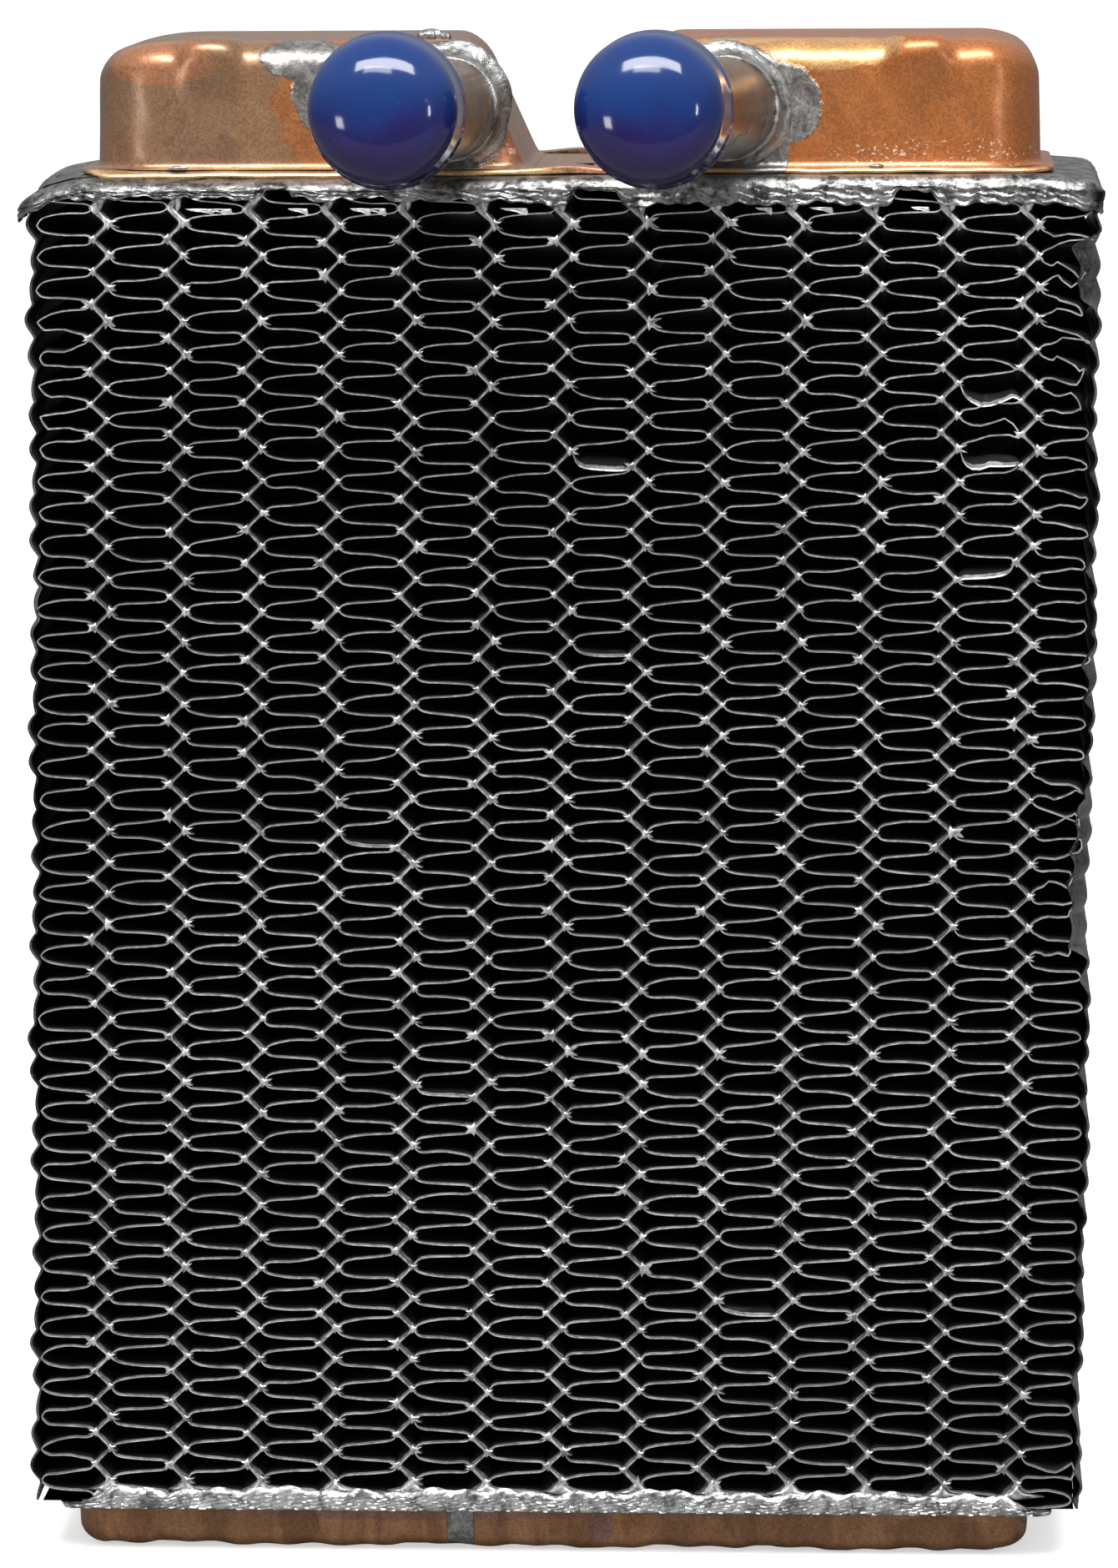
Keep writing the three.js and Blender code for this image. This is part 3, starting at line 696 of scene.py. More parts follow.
def makeTopHeader():
    low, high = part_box("top_header_plate")
    loop, out = roundedLoop(high.x, high.y, [3.5 * mm] * 4, 7, 0.6 * mm)
    lipHeight = high.z - low.z
    # inner lip edge, lower edge, outer lip in steps, broad shoulder, flat top
    outer = [(-0.3, 0.0), (-0.1, 0.0)] + [(0.0, t) for t in np.linspace(0.05, 0.66, 13)]
    outer += [(-0.08, 0.74), (-0.3, 0.83), (-0.65, 0.91), (-1.1, 0.96), (-1.7, 0.99)]
    profile = [(-0.8 * mm, low.z + 2.4 * mm), (-0.6 * mm, low.z + 0.2 * mm)]
    profile += [(a * mm, low.z + t * lipHeight) for a, t in outer]
    profile += [(-2.6 * mm, high.z), (-4.5 * mm, high.z), (-8.5 * mm, high.z), (-13 * mm, high.z)]
    rings = profileLoft(loop, out, profile)
    run = runLength(loop)
    ripple = 0.5 + 0.5 * waves(run, (23, 11), 12)
    # between two seams the lower edge arches up over the first cell
    between = np.abs(np.sin(math.pi * (loop[:, 0] - tubeX[0]) / (tubeX[1] - tubeX[0])))
    edgeLift = topHeader["arch"] * mm * (between ** 0.6 - 0.45)
    edgeLift += 0.3 * mm * waves(run, (6.3, 3.1, 17), 13)
    edgeLift += topHeader["raised"] * mm
    edgeLift += topHeader["raisedLeft"] * mm * smoothStep(-loop[:, 0], -0.02, 0.05)
    for middle, half, tall in topHeader["gaps"]:
        gap = np.abs(loop[:, 0] - middle * mm) / (half * mm)
        edgeLift += np.where(loop[:, 1] < 0, tall * mm * smoothStep(-gap, -1.15, -0.75), 0)
    for j, (offset, height) in enumerate(profile):
        share = np.clip((height - low.z) / lipHeight, 0, 1)
        if offset < -2 * mm:
            continue
        # solder ridges run along the lip and wander up and down
        lump = np.zeros(len(run))
        for ridge, (level, width) in enumerate(((0.05, 0.07), (0.3, 0.06), (0.62, 0.08))):
            spot = level + 0.06 * waves(run, (33, 13, 6), 20 + ridge)
            lump += np.exp(-((share - spot) / width) ** 2)
        amount = topHeader["ridges"] * mm * lump * (0.5 + 0.8 * ripple)
        amount += 0.12 * mm * waves(run + 3 * (height - low.z), (2.7, 4.9, 1.7), 24) * (share > 0)
        rings[j, :, :2] += out * amount[:, None]
        rings[j, :, 2] += np.clip(1 - share / 0.7, 0, 1) * edgeLift
    # the shoulder is lower at the front left, and the ends sag past the tank
    leftShare = smoothStep(-rings[..., 0], -0.02, 0.05) * (rings[..., 1] < 0)
    shoulder = smoothStep(np.array([a for a, b in profile]), -4.4 * mm, -1.5 * mm)[:, None]
    upper = smoothStep(rings[..., 2], low.z + 0.4 * lipHeight, high.z - 0.4 * mm)
    rings[..., 2] -= topHeader["lowLeft"] * mm * leftShare * shoulder * upper
    rings[..., 0] -= plate["shift"] * mm
    rings[..., 2] -= plateSag(rings[..., 0], rings[..., 1])
    parts = newParts()
    addLoft(parts, rings)
    draw = np.random.default_rng(41)
    for front in (True, False):
        for i, x0 in enumerate(tubeX):
            # the tube seams flare into the lip
            wide = draw.uniform(1.1, 2.2)
            drop = draw.uniform(1.4, 3.0)
            raised = topHeader["raised"] + topHeader["raisedLeft"] * float(smoothStep(-x0, -0.02, 0.05))
            top = low.z + (0.6 + raised) * mm
            outline = [(-wide, 0.5), (-0.35 * wide, -0.4), (-0.45, -0.7 * drop), (-0.1, -drop),
                       (0.4, -0.7 * drop), (0.4 * wide, -0.35), (wide, 0.5), (0, 1.2)]
            shift = float(wallWave(i, low.z - 0.8 * mm))
            gussetBlock(parts, (x0 + shift, top), outline, front, 1.8, 0.5, 1)
        for n in range(topHeader["flags"]):
            # loose flags of solder hang in the first row of cells
            column = int(draw.integers(0, len(tubeX) - 1))
            if front and n < 5:
                column = (10, 8, 9, 1, 5)[n]
            x0 = tubeX[column] + draw.uniform(3.5, 7.5) * mm
            wide = draw.uniform(1.2, 2.4)
            tall = draw.uniform(0.5, 1.0)
            outline = [(-wide, 0.3), (-wide * 0.6, -0.1 * tall), (0.1 * wide, -0.3 * tall),
                       (0.8 * wide, -tall), (wide, -0.8 * tall), (0.9 * wide, 0.3)]
            gussetBlock(parts, (x0, low.z + 0.1 * mm), outline, front, 1.1, -0.15, 2)
    return makePiece("top_header_flooded", parts, assembly, ["top_header_plate"],
                     [lipSolder, seamSolder, flagSolder], sharp=45)


bottomHeader = {
    "corner": 1.6, "ridge": 0.22, "ripple": 0.16,  # mm
    "edgeWave": 0.45, "edgeDrop": 0.35,
    "endFade": 7.0,  # mm from each end where the lip dies out
}


def makeBottomHeader():
    b = bottomHeader
    low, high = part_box("bottom_header_plate")
    loop, out = roundedLoop(high.x, high.y, [b["corner"] * mm] * 4, 4, 0.6 * mm)
    height = high.z - low.z
    profile = [(-3.0 * mm, low.z), (-0.5 * mm, low.z), (-0.1 * mm, low.z + 0.15 * mm)]
    profile += [(0.0, low.z + t * height) for t in np.linspace(0.1, 0.8, 10)]
    profile += [(-0.2 * mm, low.z + 0.93 * height), (-0.5 * mm, high.z), (-0.8 * mm, high.z - 0.2 * mm),
                (-0.8 * mm, low.z + 1.1 * mm), (-3.0 * mm, low.z + 1.0 * mm)]
    rings = profileLoft(loop, out, profile)
    run = runLength(loop)
    for j, (offset, level) in enumerate(profile):
        if offset < -2 * mm:
            continue
        share = (level - low.z) / height
        swell = waves(run, (9, 4.3, 15), 51) * math.sin(math.pi * min(share, 1.0)) + 0.4
        lump = b["ridge"] * mm * swell
        lump += b["ripple"] * mm * waves(run + 6 * (level - low.z), (3.1, 1.9), 52)
        rings[j, :, :2] += out * lump[:, None]
        rings[j, :, 2] += share * mm * (b["edgeWave"] * waves(run, (12.2, 5.7, 31), 53) - b["edgeDrop"])
        # only front and rear have a lip: it dies out at the ends
        ends = np.clip((np.abs(rings[j, :, 0]) - high.x + b["endFade"] * mm) / (4 * mm), 0, 1)
        rings[j, :, 2] -= ends * np.clip(rings[j, :, 2] - low.z - 0.9 * mm, 0, None)
    parts = newParts()
    addLoft(parts, rings)
    draw = np.random.default_rng(57)
    for front in (True, False):
        for i, x0 in enumerate(tubeX):
            wide = draw.uniform(2.0, 4.2)
            rise = draw.uniform(1.2, 2.6)
            lean = draw.uniform(-0.6, 1.4)
            outline = [(-wide, -0.5), (0, -1.1), (wide + lean, -0.5), (0.45 * wide, 0.1),
                       (0.5, 0.6 * rise), (0.15, rise), (-0.3, 0.6 * rise), (-0.4 * wide, 0.1)]
            shift = float(wallWave(i, high.z + 0.8 * mm))
            gussetBlock(parts, (x0 + shift, high.z - 0.2 * mm), outline, front, 1.8, 0.35, 1)
    return makePiece("bottom_header_flooded", parts, assembly,
                     ["bottom_header_plate"], [footSolder, seamSolder], sharp=45)


makeTopHeader()
makeBottomHeader()
print("header plates ready")


tank = {
    "sheet": 0.8, "flange": 2.0, "depth": 43.0, "edgeRadius": 4.4, "endRadius": 11.0,
    "innerRadius": 3.5, "draft": 0.35, "innerGap": 4.5, "innerShift": 1.8, "innerLean": 8.6,
    "dimpleX": 55.9, "dimpleHalf": 5.4, "dimple": 2.3, "dimpleReach": 4.6,
    "dent": 0.16, "slope": 4.6, "slopeLeft": 15.0, "slopeRight": 10.0,
}
tankLow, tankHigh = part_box("top_tank")
flangeTop = tankLow.z + tank["sheet"] * mm
wallFace = tank["depth"] / 2 * mm  # half depth of the chambers over their walls
tankEnd = tankHigh.x - tank["flange"] * mm

tankCopper = {
    "base": (0.31, 0.168, 0.085, 1), "tint": (0.245, 0.137, 0.078, 1), "dark": (0.13, 0.065, 0.03, 1),
    "streak": (1, 1, 0.6), "streaked": 0.25, "tintScale": 45.0, "rough": (0.3, 0.48), "metal": 0.62,
    "lacquer": 0.5,
    # patches in metres: centre, size, raggedness, and for a hue its amount and colour
    # painted glints: bright specks near the foot of each chamber wall
    "glints": [((0.061, -0.0215, 0.2272), (0.019, 0.01, 0.0024), 0.6),
               ((-0.0135, -0.0215, 0.2275), (0.008, 0.01, 0.002), 0.6)],
    "hues": [
        ((-0.037, -0.021, 0.236), (0.009, 0.012, 0.011), 1.1, 0.75, (0.44, 0.135, 0.025)),
        ((-0.028, -0.021, 0.229), (0.009, 0.008, 0.006), 1.0, 0.6, (0.44, 0.135, 0.085)),
        ((-0.064, -0.02, 0.2425), (0.01, 0.006, 0.004), 0.8, 0.6, (0.45, 0.17, 0.07)),
        ((0.03, -0.0215, 0.2285), (0.045, 0.009, 0.0045), 1.1, 0.55, (0.45, 0.135, 0.08)),
        ((0.055, 0.0, 0.238), (0.047, 0.06, 0.05), 0.5, 0.85, (0.47, 0.145, 0.028)),
        # painted highlights: pale golden bands along the flange's front edge
        ((-0.042, -0.0235, 0.2246), (0.045, 0.004, 0.0012), 0.7, 0.7, (0.75, 0.5, 0.24)),
        ((0.05, -0.0235, 0.2248), (0.035, 0.004, 0.0012), 0.7, 0.7, (0.75, 0.47, 0.22)),
        # painted highlight: pale golden on the rounded top edge of the right chamber
        ((0.036, -0.0195, 0.2435), (0.02, 0.006, 0.0035), 0.9, 0.6, (0.72, 0.45, 0.18)),
    ],
    "solder": [
        ((-0.041, -0.021, 0.2425), (0.0068, 0.008, 0.0035), 0.5),
        ((-0.038, -0.021, 0.2375), (0.005, 0.006, 0.0068), 0.6),
        ((-0.0195, -0.021, 0.2345), (0.0118, 0.003, 0.0112), 0.5),
        ((0.0255, -0.021, 0.2345), (0.012, 0.003, 0.0112), 0.5),
        ((0.0345, -0.021, 0.2352), (0.006, 0.006, 0.0066), 0.6),
        ((0.0315, -0.0215, 0.228), (0.0042, 0.006, 0.0052), 0.7),
    ],
}


def makeChamber(parts, side):
    height = tankHigh.z - flangeTop
    width = tankEnd - (tank["innerGap"] + (tank["innerShift"] if side < 0 else 0)) * mm
    outer, inner = tank["endRadius"] * mm, tank["innerRadius"] * mm
    radii = [inner, outer, outer, inner] if side < 0 else [outer, inner, inner, outer]
    straight = height / mm - tank["edgeRadius"]
    profile = [(-0.5, -0.4), (1.1, 0.0), (0.5, 0.12), (0.15, 0.45), (0.0, 1.0)]
    profile += [(-tank["draft"] * t, t * straight) for t in np.linspace(0.12, 1.0, 9)]
    profile += quarterTurn(-tank["draft"], straight, tank["edgeRadius"], np.linspace(12, 90, 7))
    profile += [(-inset, height / mm) for inset in (6, 9, 12.5, 16, 18.5, 20.6)]
    count = 220
    rings = np.zeros((len(profile), count, 3))
    for j, (offset, level) in enumerate(profile):
        shrink = -offset * mm
        rounds = [max(r - shrink, 0.3 * mm) for r in radii]
        loop = roundedLoop(width / 2 - shrink, wallFace - shrink, rounds, 8, 1.0 * mm)[0]
        # every ring gets the same number of points, spaced evenly along its length
        closed = np.vstack([loop, loop[:1]])
        gone = runLength(closed)
        want = np.linspace(0, 1, count, endpoint=False) * gone[-1]
        rings[j] = np.stack([np.interp(want, gone, closed[:, 0]), np.interp(want, gone, closed[:, 1]),
                             np.full(count, level * mm)], -1)
    # inner end leans away as it rises
    outerEnd = side * width / 2
    fromEnd = rings[..., 0] - outerEnd
    lean = tank["innerLean"] * mm / (width * height)
    rings[..., 0] = outerEnd + fromEnd * (1 - lean * np.clip(rings[..., 2], 0, None))
    rings[..., 0] += side * tankEnd - outerEnd
    # the sheet is never quite flat
    x, y, z = rings[..., 0], rings[..., 1], rings[..., 2]
    walls = smoothStep(z, 1 * mm, 4 * mm) * tank["dent"] * mm
    rings[..., 1] += walls * np.where(y < 0, 1, -1) * waves(x + 0.7 * z, (31, 13, 7.7), 70)
    # the top falls away towards the outer end
    slope = (tank["slopeLeft"] if side < 0 else tank["slopeRight"]) * mm
    u = np.clip((np.abs(x) - (tankEnd - slope)) / slope, 0, 1)
    fall = tank["slope"] * mm * (1 - np.sqrt(1 - u ** 2 * 0.995))
    rings[..., 2] -= fall * np.clip(z / height, 0, 1) ** 2
    rings[..., 2] += flangeTop - 0.18 * mm * smoothStep(np.abs(y), 12 * mm, 0) * (z > height - mm)
    pressDimple(rings, side)
    addLoft(parts, rings)


def pressDimple(rings, side):
    # a locating bump pressed out of the upper front edge
    across = (rings[..., 0] - side * tank["dimpleX"] * mm) / (tank["dimpleHalf"] * mm)
    swell = np.clip(1 - np.abs(across) ** 3, 0, 1) ** 1.2
    edge = np.hypot(rings[..., 1] + wallFace - 1.4 * mm, rings[..., 2] - tankHigh.z + 1.4 * mm)
    push = tank["dimple"] * mm * swell * np.exp(-(edge / (tank["dimpleReach"] * mm)) ** 2)
    rings[..., 1] -= push * 0.9
    rings[..., 2] += push * 0.55


def addBead(parts, centre, size, seed):
    # a small frozen drop of solder
    draw = np.random.default_rng(seed)
    wobble = draw.uniform(0.8, 1.2, 20)
    around = np.linspace(0, turnRound, len(wobble), endpoint=False)
    rings = []
    for climb in np.radians(np.linspace(-80, 80, 9)):
        wide = math.cos(climb) * wobble
        ring = np.stack([np.cos(around) * wide, np.sin(around) * wide, np.full_like(wide, math.sin(climb))], -1)
        rings.append(np.array(centre) + ring * np.array(size) * mm)
    addLoft(parts, np.array(rings), 1)


def makeTopTank():
    parts = newParts()
    loop, out = roundedLoop(tankHigh.x, tankHigh.y, [6 * mm] * 4, 8, 1.2 * mm)
    profile = [(-6, 0), (-0.3, 0.0), (0, 0.15), (0.05, 0.45), (-0.1, 0.72), (-0.4, 0.8), (-1.1, 0.8),
               (-3.2, 0.8), (-6, 0.8)]
    rings = profileLoft(loop, out, [(a * mm, tankLow.z + b * mm) for a, b in profile])
    x = rings[..., 0]
    # the web between the chambers is bowed up a little
    bowed = np.exp(-(x / (5 * mm)) ** 2) * smoothStep(rings[..., 2], tankLow.z, flangeTop)
    rings[..., 2] += 0.5 * mm * bowed
    rings[..., 2] += 0.07 * mm * waves(x, (27, 11), 75)
    edge = smoothStep(-rings[..., 1], wallFace, tankHigh.y) * smoothStep(-x, -0.01, 0.05)
    rings[..., 2] -= 0.55 * mm * edge
    addLoft(parts, rings)
    for side in (-1, 1):
        makeChamber(parts, side)
    addBead(parts, (-0.0215, -0.014, tankHigh.z + 0.0004), (2.0, 1.4, 1.2), 91)
    addBead(parts, (-0.0195, -0.0135, tankHigh.z + 0.0002), (1.2, 1.1, 0.9), 92)
    addBead(parts, (-0.061, -0.0228, flangeTop + 0.0003), (1.4, 0.6, 0.4), 93)
    addBead(parts, (0.049, -0.0228, flangeTop + 0.0003), (1.1, 0.6, 0.4), 94)
    return makePiece("top_tank_stamping", parts, assembly, ["top_tank"],
                     [copperMaterial("top_tank_copper", tankCopper), floodSolder], sharp=35)


makeTopTank()
print("top tank ready")


pan = {"wider": 1.01, "shift": 0.9, "edgeRadius": 3.2, "cornerRadius": 6.0, "draft": 0.25, "creases": 15}
panCopper = {
    "base": (0.4, 0.2, 0.088, 1), "tint": (0.3, 0.145, 0.06, 1), "dark": (0.13, 0.056, 0.025, 1),
    "streak": (1.4, 1, 0.25), "streaked": 0.6, "tintScale": 90.0, "rough": (0.36, 0.52), "metal": 0.5,
    "lacquer": 0.1, "glints": [],
    "hues": [
        ((-0.03, -0.021, 0.0065), (0.03, 0.006, 0.0014), 1.6, 0.5, (0.2, 0.1, 0.13)),
        ((0.0045, -0.021, 0.005), (0.0024, 0.006, 0.004), 0.8, 0.6, (0.2, 0.12, 0.13)),
        ((0.03, -0.021, 0.0072), (0.022, 0.006, 0.0011), 1.2, 0.6, (0.17, 0.16, 0.18)),
        ((-0.045, -0.021, 0.0045), (0.0035, 0.006, 0.004), 1.0, 0.55, (0.12, 0.05, 0.02)),
        ((0.058, -0.021, 0.004), (0.006, 0.006, 0.003), 1.1, 0.5, (0.13, 0.055, 0.022)),
        ((-0.06, -0.02, 0.004), (0.012, 0.01, 0.004), 1.0, 0.5, (0.26, 0.13, 0.06)),
        ((0.04, -0.021, 0.003), (0.03, 0.008, 0.004), 1.2, 0.4, (0.26, 0.125, 0.06)),
    ],
    "solder": [
        ((-0.0185, -0.021, 0.005), (0.0023, 0.006, 0.009), 0.5),
        ((0.0745, -0.015, 0.0068), (0.0028, 0.01, 0.0026), 0.6),
    ],
}


def makeReturnTank():
    low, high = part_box("return_tank")
    top = high.z
    wallX, wallY = high.x - 0.4 * mm, high.y - 2 * mm
    parts = newParts()
    e = pan["edgeRadius"]
    deep = (top - low.z) / mm
    profile = [(1.2, -0.1), (0.5, -0.25), (0.1, -0.7)]
    straight = deep - e
    profile += [(-pan["draft"] * t, -t * straight) for t in np.linspace(0.3, 1.0, 5)]
    for a in np.linspace(15, 90, 6):
        turn = math.radians(a)
        profile.append((-pan["draft"] - e * (1 - math.cos(turn)), -straight - e * math.sin(turn)))
    profile += [(-5.5, -deep), (-9, -deep), (-14, -deep), (-19.5, -deep)]
    loop, out = roundedLoop(wallX, wallY, [pan["cornerRadius"] * mm] * 4, 8, 0.7 * mm)
    count = len(loop)
    rings = np.zeros((len(profile), count, 3))
    for j, (offset, level) in enumerate(profile):
        inset = -offset * mm
        # past the corner radius the rings shrink as plain boxes
        near = min(inset, 5.5 * mm)
        ring = loop - out * near
        if inset > near:
            ring = ring * np.array([(wallX - inset) / (wallX - near), (wallY - inset) / (wallY - near)])
        rings[j, :, :2] = ring
        rings[j, :, 2] = top + level * mm
    draw = np.random.default_rng(81)
    run = loop[:, 0]
    crease = np.zeros(count)
    for n in range(pan["creases"]):
        spot = draw.uniform(-0.068, 0.07)
        wide = draw.uniform(0.5, 1.3) * mm
        crease += draw.uniform(-0.32, 0.2) * mm * np.exp(-((run - spot) / wide) ** 2)
    crease += 0.12 * mm * waves(run, (21, 8.7), 82)
    for j, (offset, level) in enumerate(profile):
        amount = smoothStep(-level, 0.4, 2.5) * (1 - smoothStep(-offset, 3.3, 6))
        rings[j, :, :2] += out * (crease * amount)[:, None]
        lift = 0.3 * mm * np.clip(waves(run, (19, 8, 45), 83), -1, 1) + 0.3 * mm
        rings[j, :, 2] += lift * smoothStep(-level, 3, deep - 0.5) * (1 - smoothStep(-offset, 4, 9))
    addLoft(parts, rings)
    flange, outwards = roundedLoop(high.x, high.y, [6 * mm] * 4, 8, 1.2 * mm)
    edge = [(-6, -0.8), (-0.3, -0.8), (0, -0.65), (0.05, -0.3), (-0.1, -0.08), (-0.4, 0.0), (-6, 0.0)]
    rim = profileLoft(flange, outwards, [(a * mm, top + b * mm) for a, b in edge])
    rim[..., 2] += 0.05 * mm * waves(rim[..., 0], (23, 9), 84)
    addLoft(parts, rim)
    for block in parts["points"]:
        block[:, 0] = block[:, 0] * pan["wider"] - pan["shift"] * mm
    return makePiece("return_tank_pan", parts, assembly, ["return_tank"],
                     [copperMaterial("return_tank_copper", panCopper)], sharp=35)


makeReturnTank()
print("return tank ready")


pipe = {"radius": 7.95, "wall": 1.0, "reach": 66.0, "inside": 2.5, "bead": 0.8, "beadLength": 3.0,
        "beadBack": 5.0, "steps": 72}
cap = {"bore": 9.55, "wall": 1.6, "front": 2.2, "length": 19.0, "draft": 0.75, "edge": 5.6,
       "crown": 1.9, "full": 0.86, "end": 0.6, "steps": 96, "pivot": 57.0,
       # the soft caps sit a little askew on their pipes: degrees sideways and up
       "tilt": {"inlet": (6.5, 1.0), "outlet": (8.0, 1.0)}}
joints = {j["name"]: j for j in frame["joints"]}


def pipeFrame(end):
    # the pipe's axis is its cap's pull axis; its root is on the tank's front wall
    axis = Vector(joints[end + "_cap_pull"]["axis"]).normalized()
    low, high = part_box(end + "_cap")
    middle = (low + high) / 2
    far = (middle.y + wallFace) / axis.y
    root = middle - axis * far
    across = axis.cross(Vector((0, 0, 1))).normalized()
    up = across.cross(axis).normalized()
    return root, axis, across, up


def lathe(parts, where, profile, steps, rough=None, slot=0, closed=True):
    # profile: radius and distance along the axis, in mm
    root, axis, across, up = where
    angles = np.linspace(0, turnRound, steps, endpoint=False)
    rings = []
    for radius, along in profile:
        reach = np.full(steps, float(radius))
        travel = np.full(steps, float(along))
        if rough is not None:
            reach, travel = rough(angles, reach, travel)
        spot = np.outer(np.cos(angles) * reach, across) + np.outer(np.sin(angles) * reach, up)
        rings.append(np.array(root) + (spot + np.outer(travel, axis)) * mm)
    rings = np.array(rings)
    if closed:
        addBlock(parts, rings, gridFaces(len(profile), steps, wrapRows=True, wrapCols=True), slot)
    else:
        addLoft(parts, rings, slot)


brass = {
    "base": (0.28, 0.165, 0.085, 1), "tint": (0.2, 0.125, 0.075, 1), "dark": (0.09, 0.055, 0.035, 1),
    "streak": (1, 0.3, 1), "streaked": 0.4, "tintScale": 120.0, "rough": (0.22, 0.38), "metal": 0.75,
    "lacquer": 0.0, "glints": [], "hues": [],
    "solder": [
        ((-0.0185, -0.022, 0.23), (0.016, 0.016, 0.008), 0.6),
        ((0.0225, -0.024, 0.2285), (0.016, 0.03, 0.0068), 0.6),
    ],
}


def makePipe(end, material):
    p = pipe
    bore = p["radius"] - p["wall"]
    bead = p["reach"] - p["beadBack"]
    half = p["beadLength"] / 2
    profile = [(bore, -p["inside"]), (p["radius"], -p["inside"]), (p["radius"], 0)]
    profile += [(p["radius"], s) for s in (4, 12, 24, 38, 50)]
    profile.append((p["radius"], bead - half))
    for a in np.linspace(20, 160, 6):
        turn = math.radians(a)
        profile.append((p["radius"] + p["bead"] * math.sin(turn), bead - half * math.cos(turn)))
    profile += [(p["radius"], bead + half), (p["radius"], p["reach"] - 0.5), (p["radius"] - 0.15, p["reach"] - 0.12),
                (p["radius"] - 0.5, p["reach"]), (bore + 0.2, p["reach"] - 0.05), (bore, p["reach"] - 0.3),
                (bore, 40), (bore, 12)]

    def drawn(angles, reach, travel):
        wave = 0.05 * np.sin(2 * angles + 0.04 * travel) + 0.02 * np.sin(5 * angles + 0.1 * travel)
        return reach + wave, travel

    parts = newParts()
    lathe(parts, pipeFrame(end), profile, p["steps"], drawn)
    return makePiece(end + "_pipe_drawn", parts, assembly, [end + "_pipe"], [material],
                     skew=False)


def makeSolderRing(end, seed):
    # a lumpy fillet run round the pipe by hand
    root, axis, across, up = pipeFrame(end)
    outwards = Vector((0, -1, 0))
    side = outwards.cross(Vector((0, 0, 1))).normalized()
    where = (root, outwards, side, Vector((0, 0, 1)))
    profile = [(7.6, -0.3), (10.6, -0.3), (10.3, 0.12), (9.6, 0.35), (9.0, 0.8), (8.6, 1.4), (8.35, 2.1),
               (8.1, 2.3), (7.7, 2.2)]

    def lumpy(angles, reach, travel):
        swell = 0.5 * np.sin(angles + seed) + 0.35 * np.sin(3 * angles + 2 * seed)
        swell = swell + 0.2 * np.sin(7 * angles + seed)
        outer = np.clip((reach - 8.0) / 2.5, 0, 1)
        rise = np.clip(travel / 2.3, 0, 1)
        return reach + 0.75 * swell * outer, travel + 0.35 * rise * np.sin(4 * angles + 3 * seed)

    parts = newParts()
    lathe(parts, where, profile, 72, lumpy)
    return makePiece(end + "_solder_fillet", parts, assembly, [end + "_solder_ring"],
                     [floodSolder], sharp=60, skew=False)


# the low colour is painted shade for the lower part of each cap, below the middle height
capLook = {"base": (0.005, 0.027, 0.13, 1), "deep": (0.0035, 0.021, 0.1, 1),
           "low": (0.012, 0.004, 0.055, 1), "middle": 0.236, "half": 0.0065,
           "dust": (0.2, 0.25, 0.35, 1)}


def makeCap(end, material):
    c = cap
    bore = c["bore"]
    outer = bore + c["wall"]
    rimRadius = outer + c["draft"]
    innerEnd = pipe["reach"] + c["end"]
    edge = innerEnd + c["front"]
    shoulder = edge - c["edge"]
    rim = edge - c["length"]
    # up the bore, over the inner end, round the rim lip, along the skirt, over the front
    profile = [(0.02, innerEnd), (bore * 0.5, innerEnd), (bore - 0.4, innerEnd), (bore, innerEnd - 0.4)]
    profile += [(bore, innerEnd - s) for s in (3, 7, 12)]
    profile += [(bore, rim + 0.3), (bore + 0.3, rim), (rimRadius - 0.45, rim), (rimRadius - 0.1, rim + 0.2),
                (rimRadius, rim + 0.6), (rimRadius - 0.05, rim + 2.2), (rimRadius - 0.35, rim + 3.0)]
    for t in np.linspace(0.2, 1, 5):
        profile.append((rimRadius - 0.35 - (rimRadius - 0.35 - outer) * t, rim + 3.0 + (shoulder - rim - 3.0) * t))
    # the front is one smooth dome, fuller than a ball's
    for a in np.linspace(5, 89.6, 22):
        turn = math.radians(a)
        profile.append((outer * math.cos(turn) ** c["full"],
                        shoulder + (c["edge"] + c["crown"]) * math.sin(turn) ** c["full"]))
    parts = newParts()
    root, axis, across, up = pipeFrame(end)
    sideways, upwards = (math.radians(a) for a in c["tilt"][end])
    turn = Matrix.Rotation(sideways, 3, up) @ Matrix.Rotation(upwards, 3, across)
    pivot = root + axis * (c["pivot"] * mm)
    start = pivot - (turn @ axis) * (c["pivot"] * mm)
    lathe(parts, (start, turn @ axis, turn @ across, turn @ up), profile, c["steps"], closed=False)
    return makePiece(end + "_cap_moulded", parts, end + "_cap", [end + "_cap"],
                     [material], sharp=60, skew=False)


brassSkin = copperMaterial("pipe_brass", brass)
capSkin = plasticMaterial("cap_plastic", capLook)
for end, seed in (("inlet", 0.4), ("outlet", 2.1)):
    makePipe(end, brassSkin)
    makeSolderRing(end, seed)
    makeCap(end, capSkin)
print("pipes and caps ready")


studio = {"back": 30.0, "front": 0.55, "side": 14.0, "glow": 0.55}


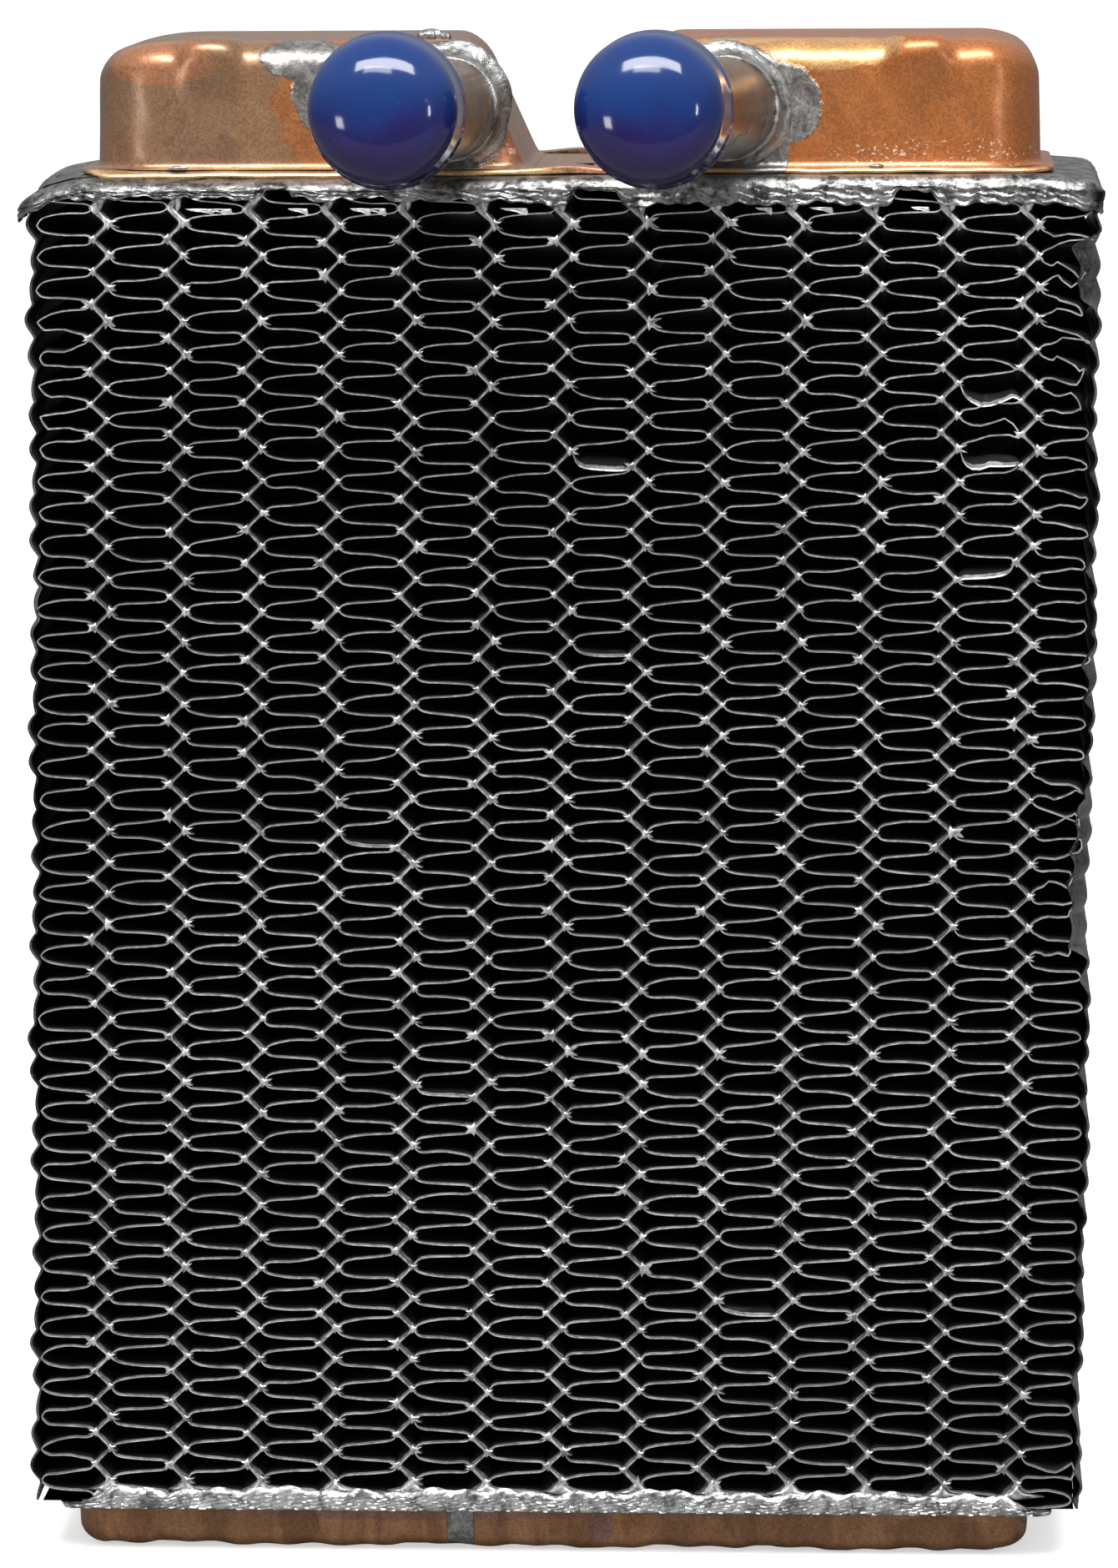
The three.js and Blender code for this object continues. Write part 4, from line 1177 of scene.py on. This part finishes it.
def makeFloor():
    material, tree, shader, place = newMaterial("pale_floor")
    cloud = noiseNode(tree, place, 3.0, 2.0, 0.5)
    shader.inputs["Roughness"].default_value = 0.85
    shader.inputs["Emission Color"].default_value = (1, 1, 1, 1)
    shader.inputs["Specular IOR Level"].default_value = 0.1
    # pale to the eye, darker to the metal and plastic that mirror it
    path = tree.nodes.new("ShaderNodeLightPath")
    pale = mixColour(tree, cloud, (0.86, 0.86, 0.85, 1), (0.9, 0.9, 0.89, 1))
    tree.links.new(mixColour(tree, path.outputs["Is Camera Ray"], (0.3, 0.3, 0.3, 1), pale),
                   shader.inputs["Base Color"])
    glow = mathNode(tree, "MULTIPLY", path.outputs["Is Camera Ray"], studio["glow"])
    tree.links.new(glow, shader.inputs["Emission Strength"])
    side, front, back = studio["side"], studio["front"], studio["back"]
    mesh = bpy.data.meshes.new("floor")
    mesh.from_pydata([(-side, -front, 0), (side, -front, 0), (side, back, 0), (-side, back, 0)], [],
                     [(0, 1, 2, 3)])
    mesh.materials.append(material)
    floor = bpy.data.objects.new("floor", mesh)
    bpy.context.scene.collection.objects.link(floor)
    floor.location.z = -0.0002


def makeWorld():
    world = bpy.data.worlds.new("studio")
    bpy.context.scene.world = world
    world.use_nodes = True
    tree = world.node_tree
    tree.nodes.clear()
    out = tree.nodes.new("ShaderNodeOutputWorld")
    seen = addNode(tree, "ShaderNodeBackground", {"Color": (1, 1, 1, 1), "Strength": 1.05})
    way = tree.nodes.new("ShaderNodeTexCoord").outputs["Generated"]
    split = addNode(tree, "ShaderNodeSeparateXYZ", {0: way})
    climb = rampValue(tree, split.outputs["Z"], 0.0, 0.75)
    tone = mixColour(tree, climb, (0.31, 0.31, 0.32, 1), (1.0, 1.0, 1.0, 1))
    room = addNode(tree, "ShaderNodeBackground", {"Color": tone, "Strength": 0.8})
    path = tree.nodes.new("ShaderNodeLightPath")
    pick = addNode(tree, "ShaderNodeMixShader", {0: path.outputs["Is Camera Ray"], 1: room.outputs[0],
                                                 2: seen.outputs[0]})
    tree.links.new(pick.outputs[0], out.inputs["Surface"])


def makeLight(name, place, target, size, power):
    light = bpy.data.lights.new(name, "AREA")
    light.shape = "RECTANGLE"
    light.size, light.size_y = size
    light.energy = power
    lamp = bpy.data.objects.new(name, light)
    bpy.context.scene.collection.objects.link(lamp)
    lamp.location = place
    lamp.rotation_euler = (Vector(target) - Vector(place)).to_track_quat("-Z", "Y").to_euler()
    return lamp


def makeCamera():
    view = {"distance": 1.029, "yaw": -3.2, "pitch": 9.29, "roll": -0.38, "lens": 144.65,
            "target": (-0.00274, 0.0, 0.12352)}
    yaw, pitch, roll = (math.radians(view[k]) for k in ("yaw", "pitch", "roll"))
    ahead = Vector((math.sin(yaw) * math.cos(pitch), math.cos(yaw) * math.cos(pitch), -math.sin(pitch)))
    level = Vector((math.cos(yaw), -math.sin(yaw), 0))
    top = level.cross(ahead)
    right = level * math.cos(roll) + top * math.sin(roll)
    up = top * math.cos(roll) - level * math.sin(roll)
    data = bpy.data.cameras.new("camera")
    data.lens = view["lens"]
    data.sensor_width = 36
    camera = bpy.data.objects.new("camera", data)
    bpy.context.scene.collection.objects.link(camera)
    spot = Vector(view["target"]) - ahead * view["distance"]
    turned = Matrix((right, up, -ahead)).transposed().to_4x4()
    camera.matrix_world = Matrix.Translation(spot) @ turned
    bpy.context.scene.camera = camera


makeFloor()
makeWorld()
makeLight("overhead_box", (0.02, -0.62, 0.95), (0, 0, 0.2), (0.95, 0.27), 15)
makeLight("front_fill", (-0.15, -1.5, 1.5), (0, 0, 0.12), (0.8, 0.3), 9)
makeLight("low_window", (-0.75, -0.9, 0.07), (0, 0, 0.2), (0.2, 0.2), 1.8)
makeLight("right_strip", (0.75, -0.72, 0.26), (0, 0, 0.22), (0.04, 0.16), 0.7)
makeCamera()
bpy.context.scene.view_settings.view_transform = "Standard"
print("studio ready")
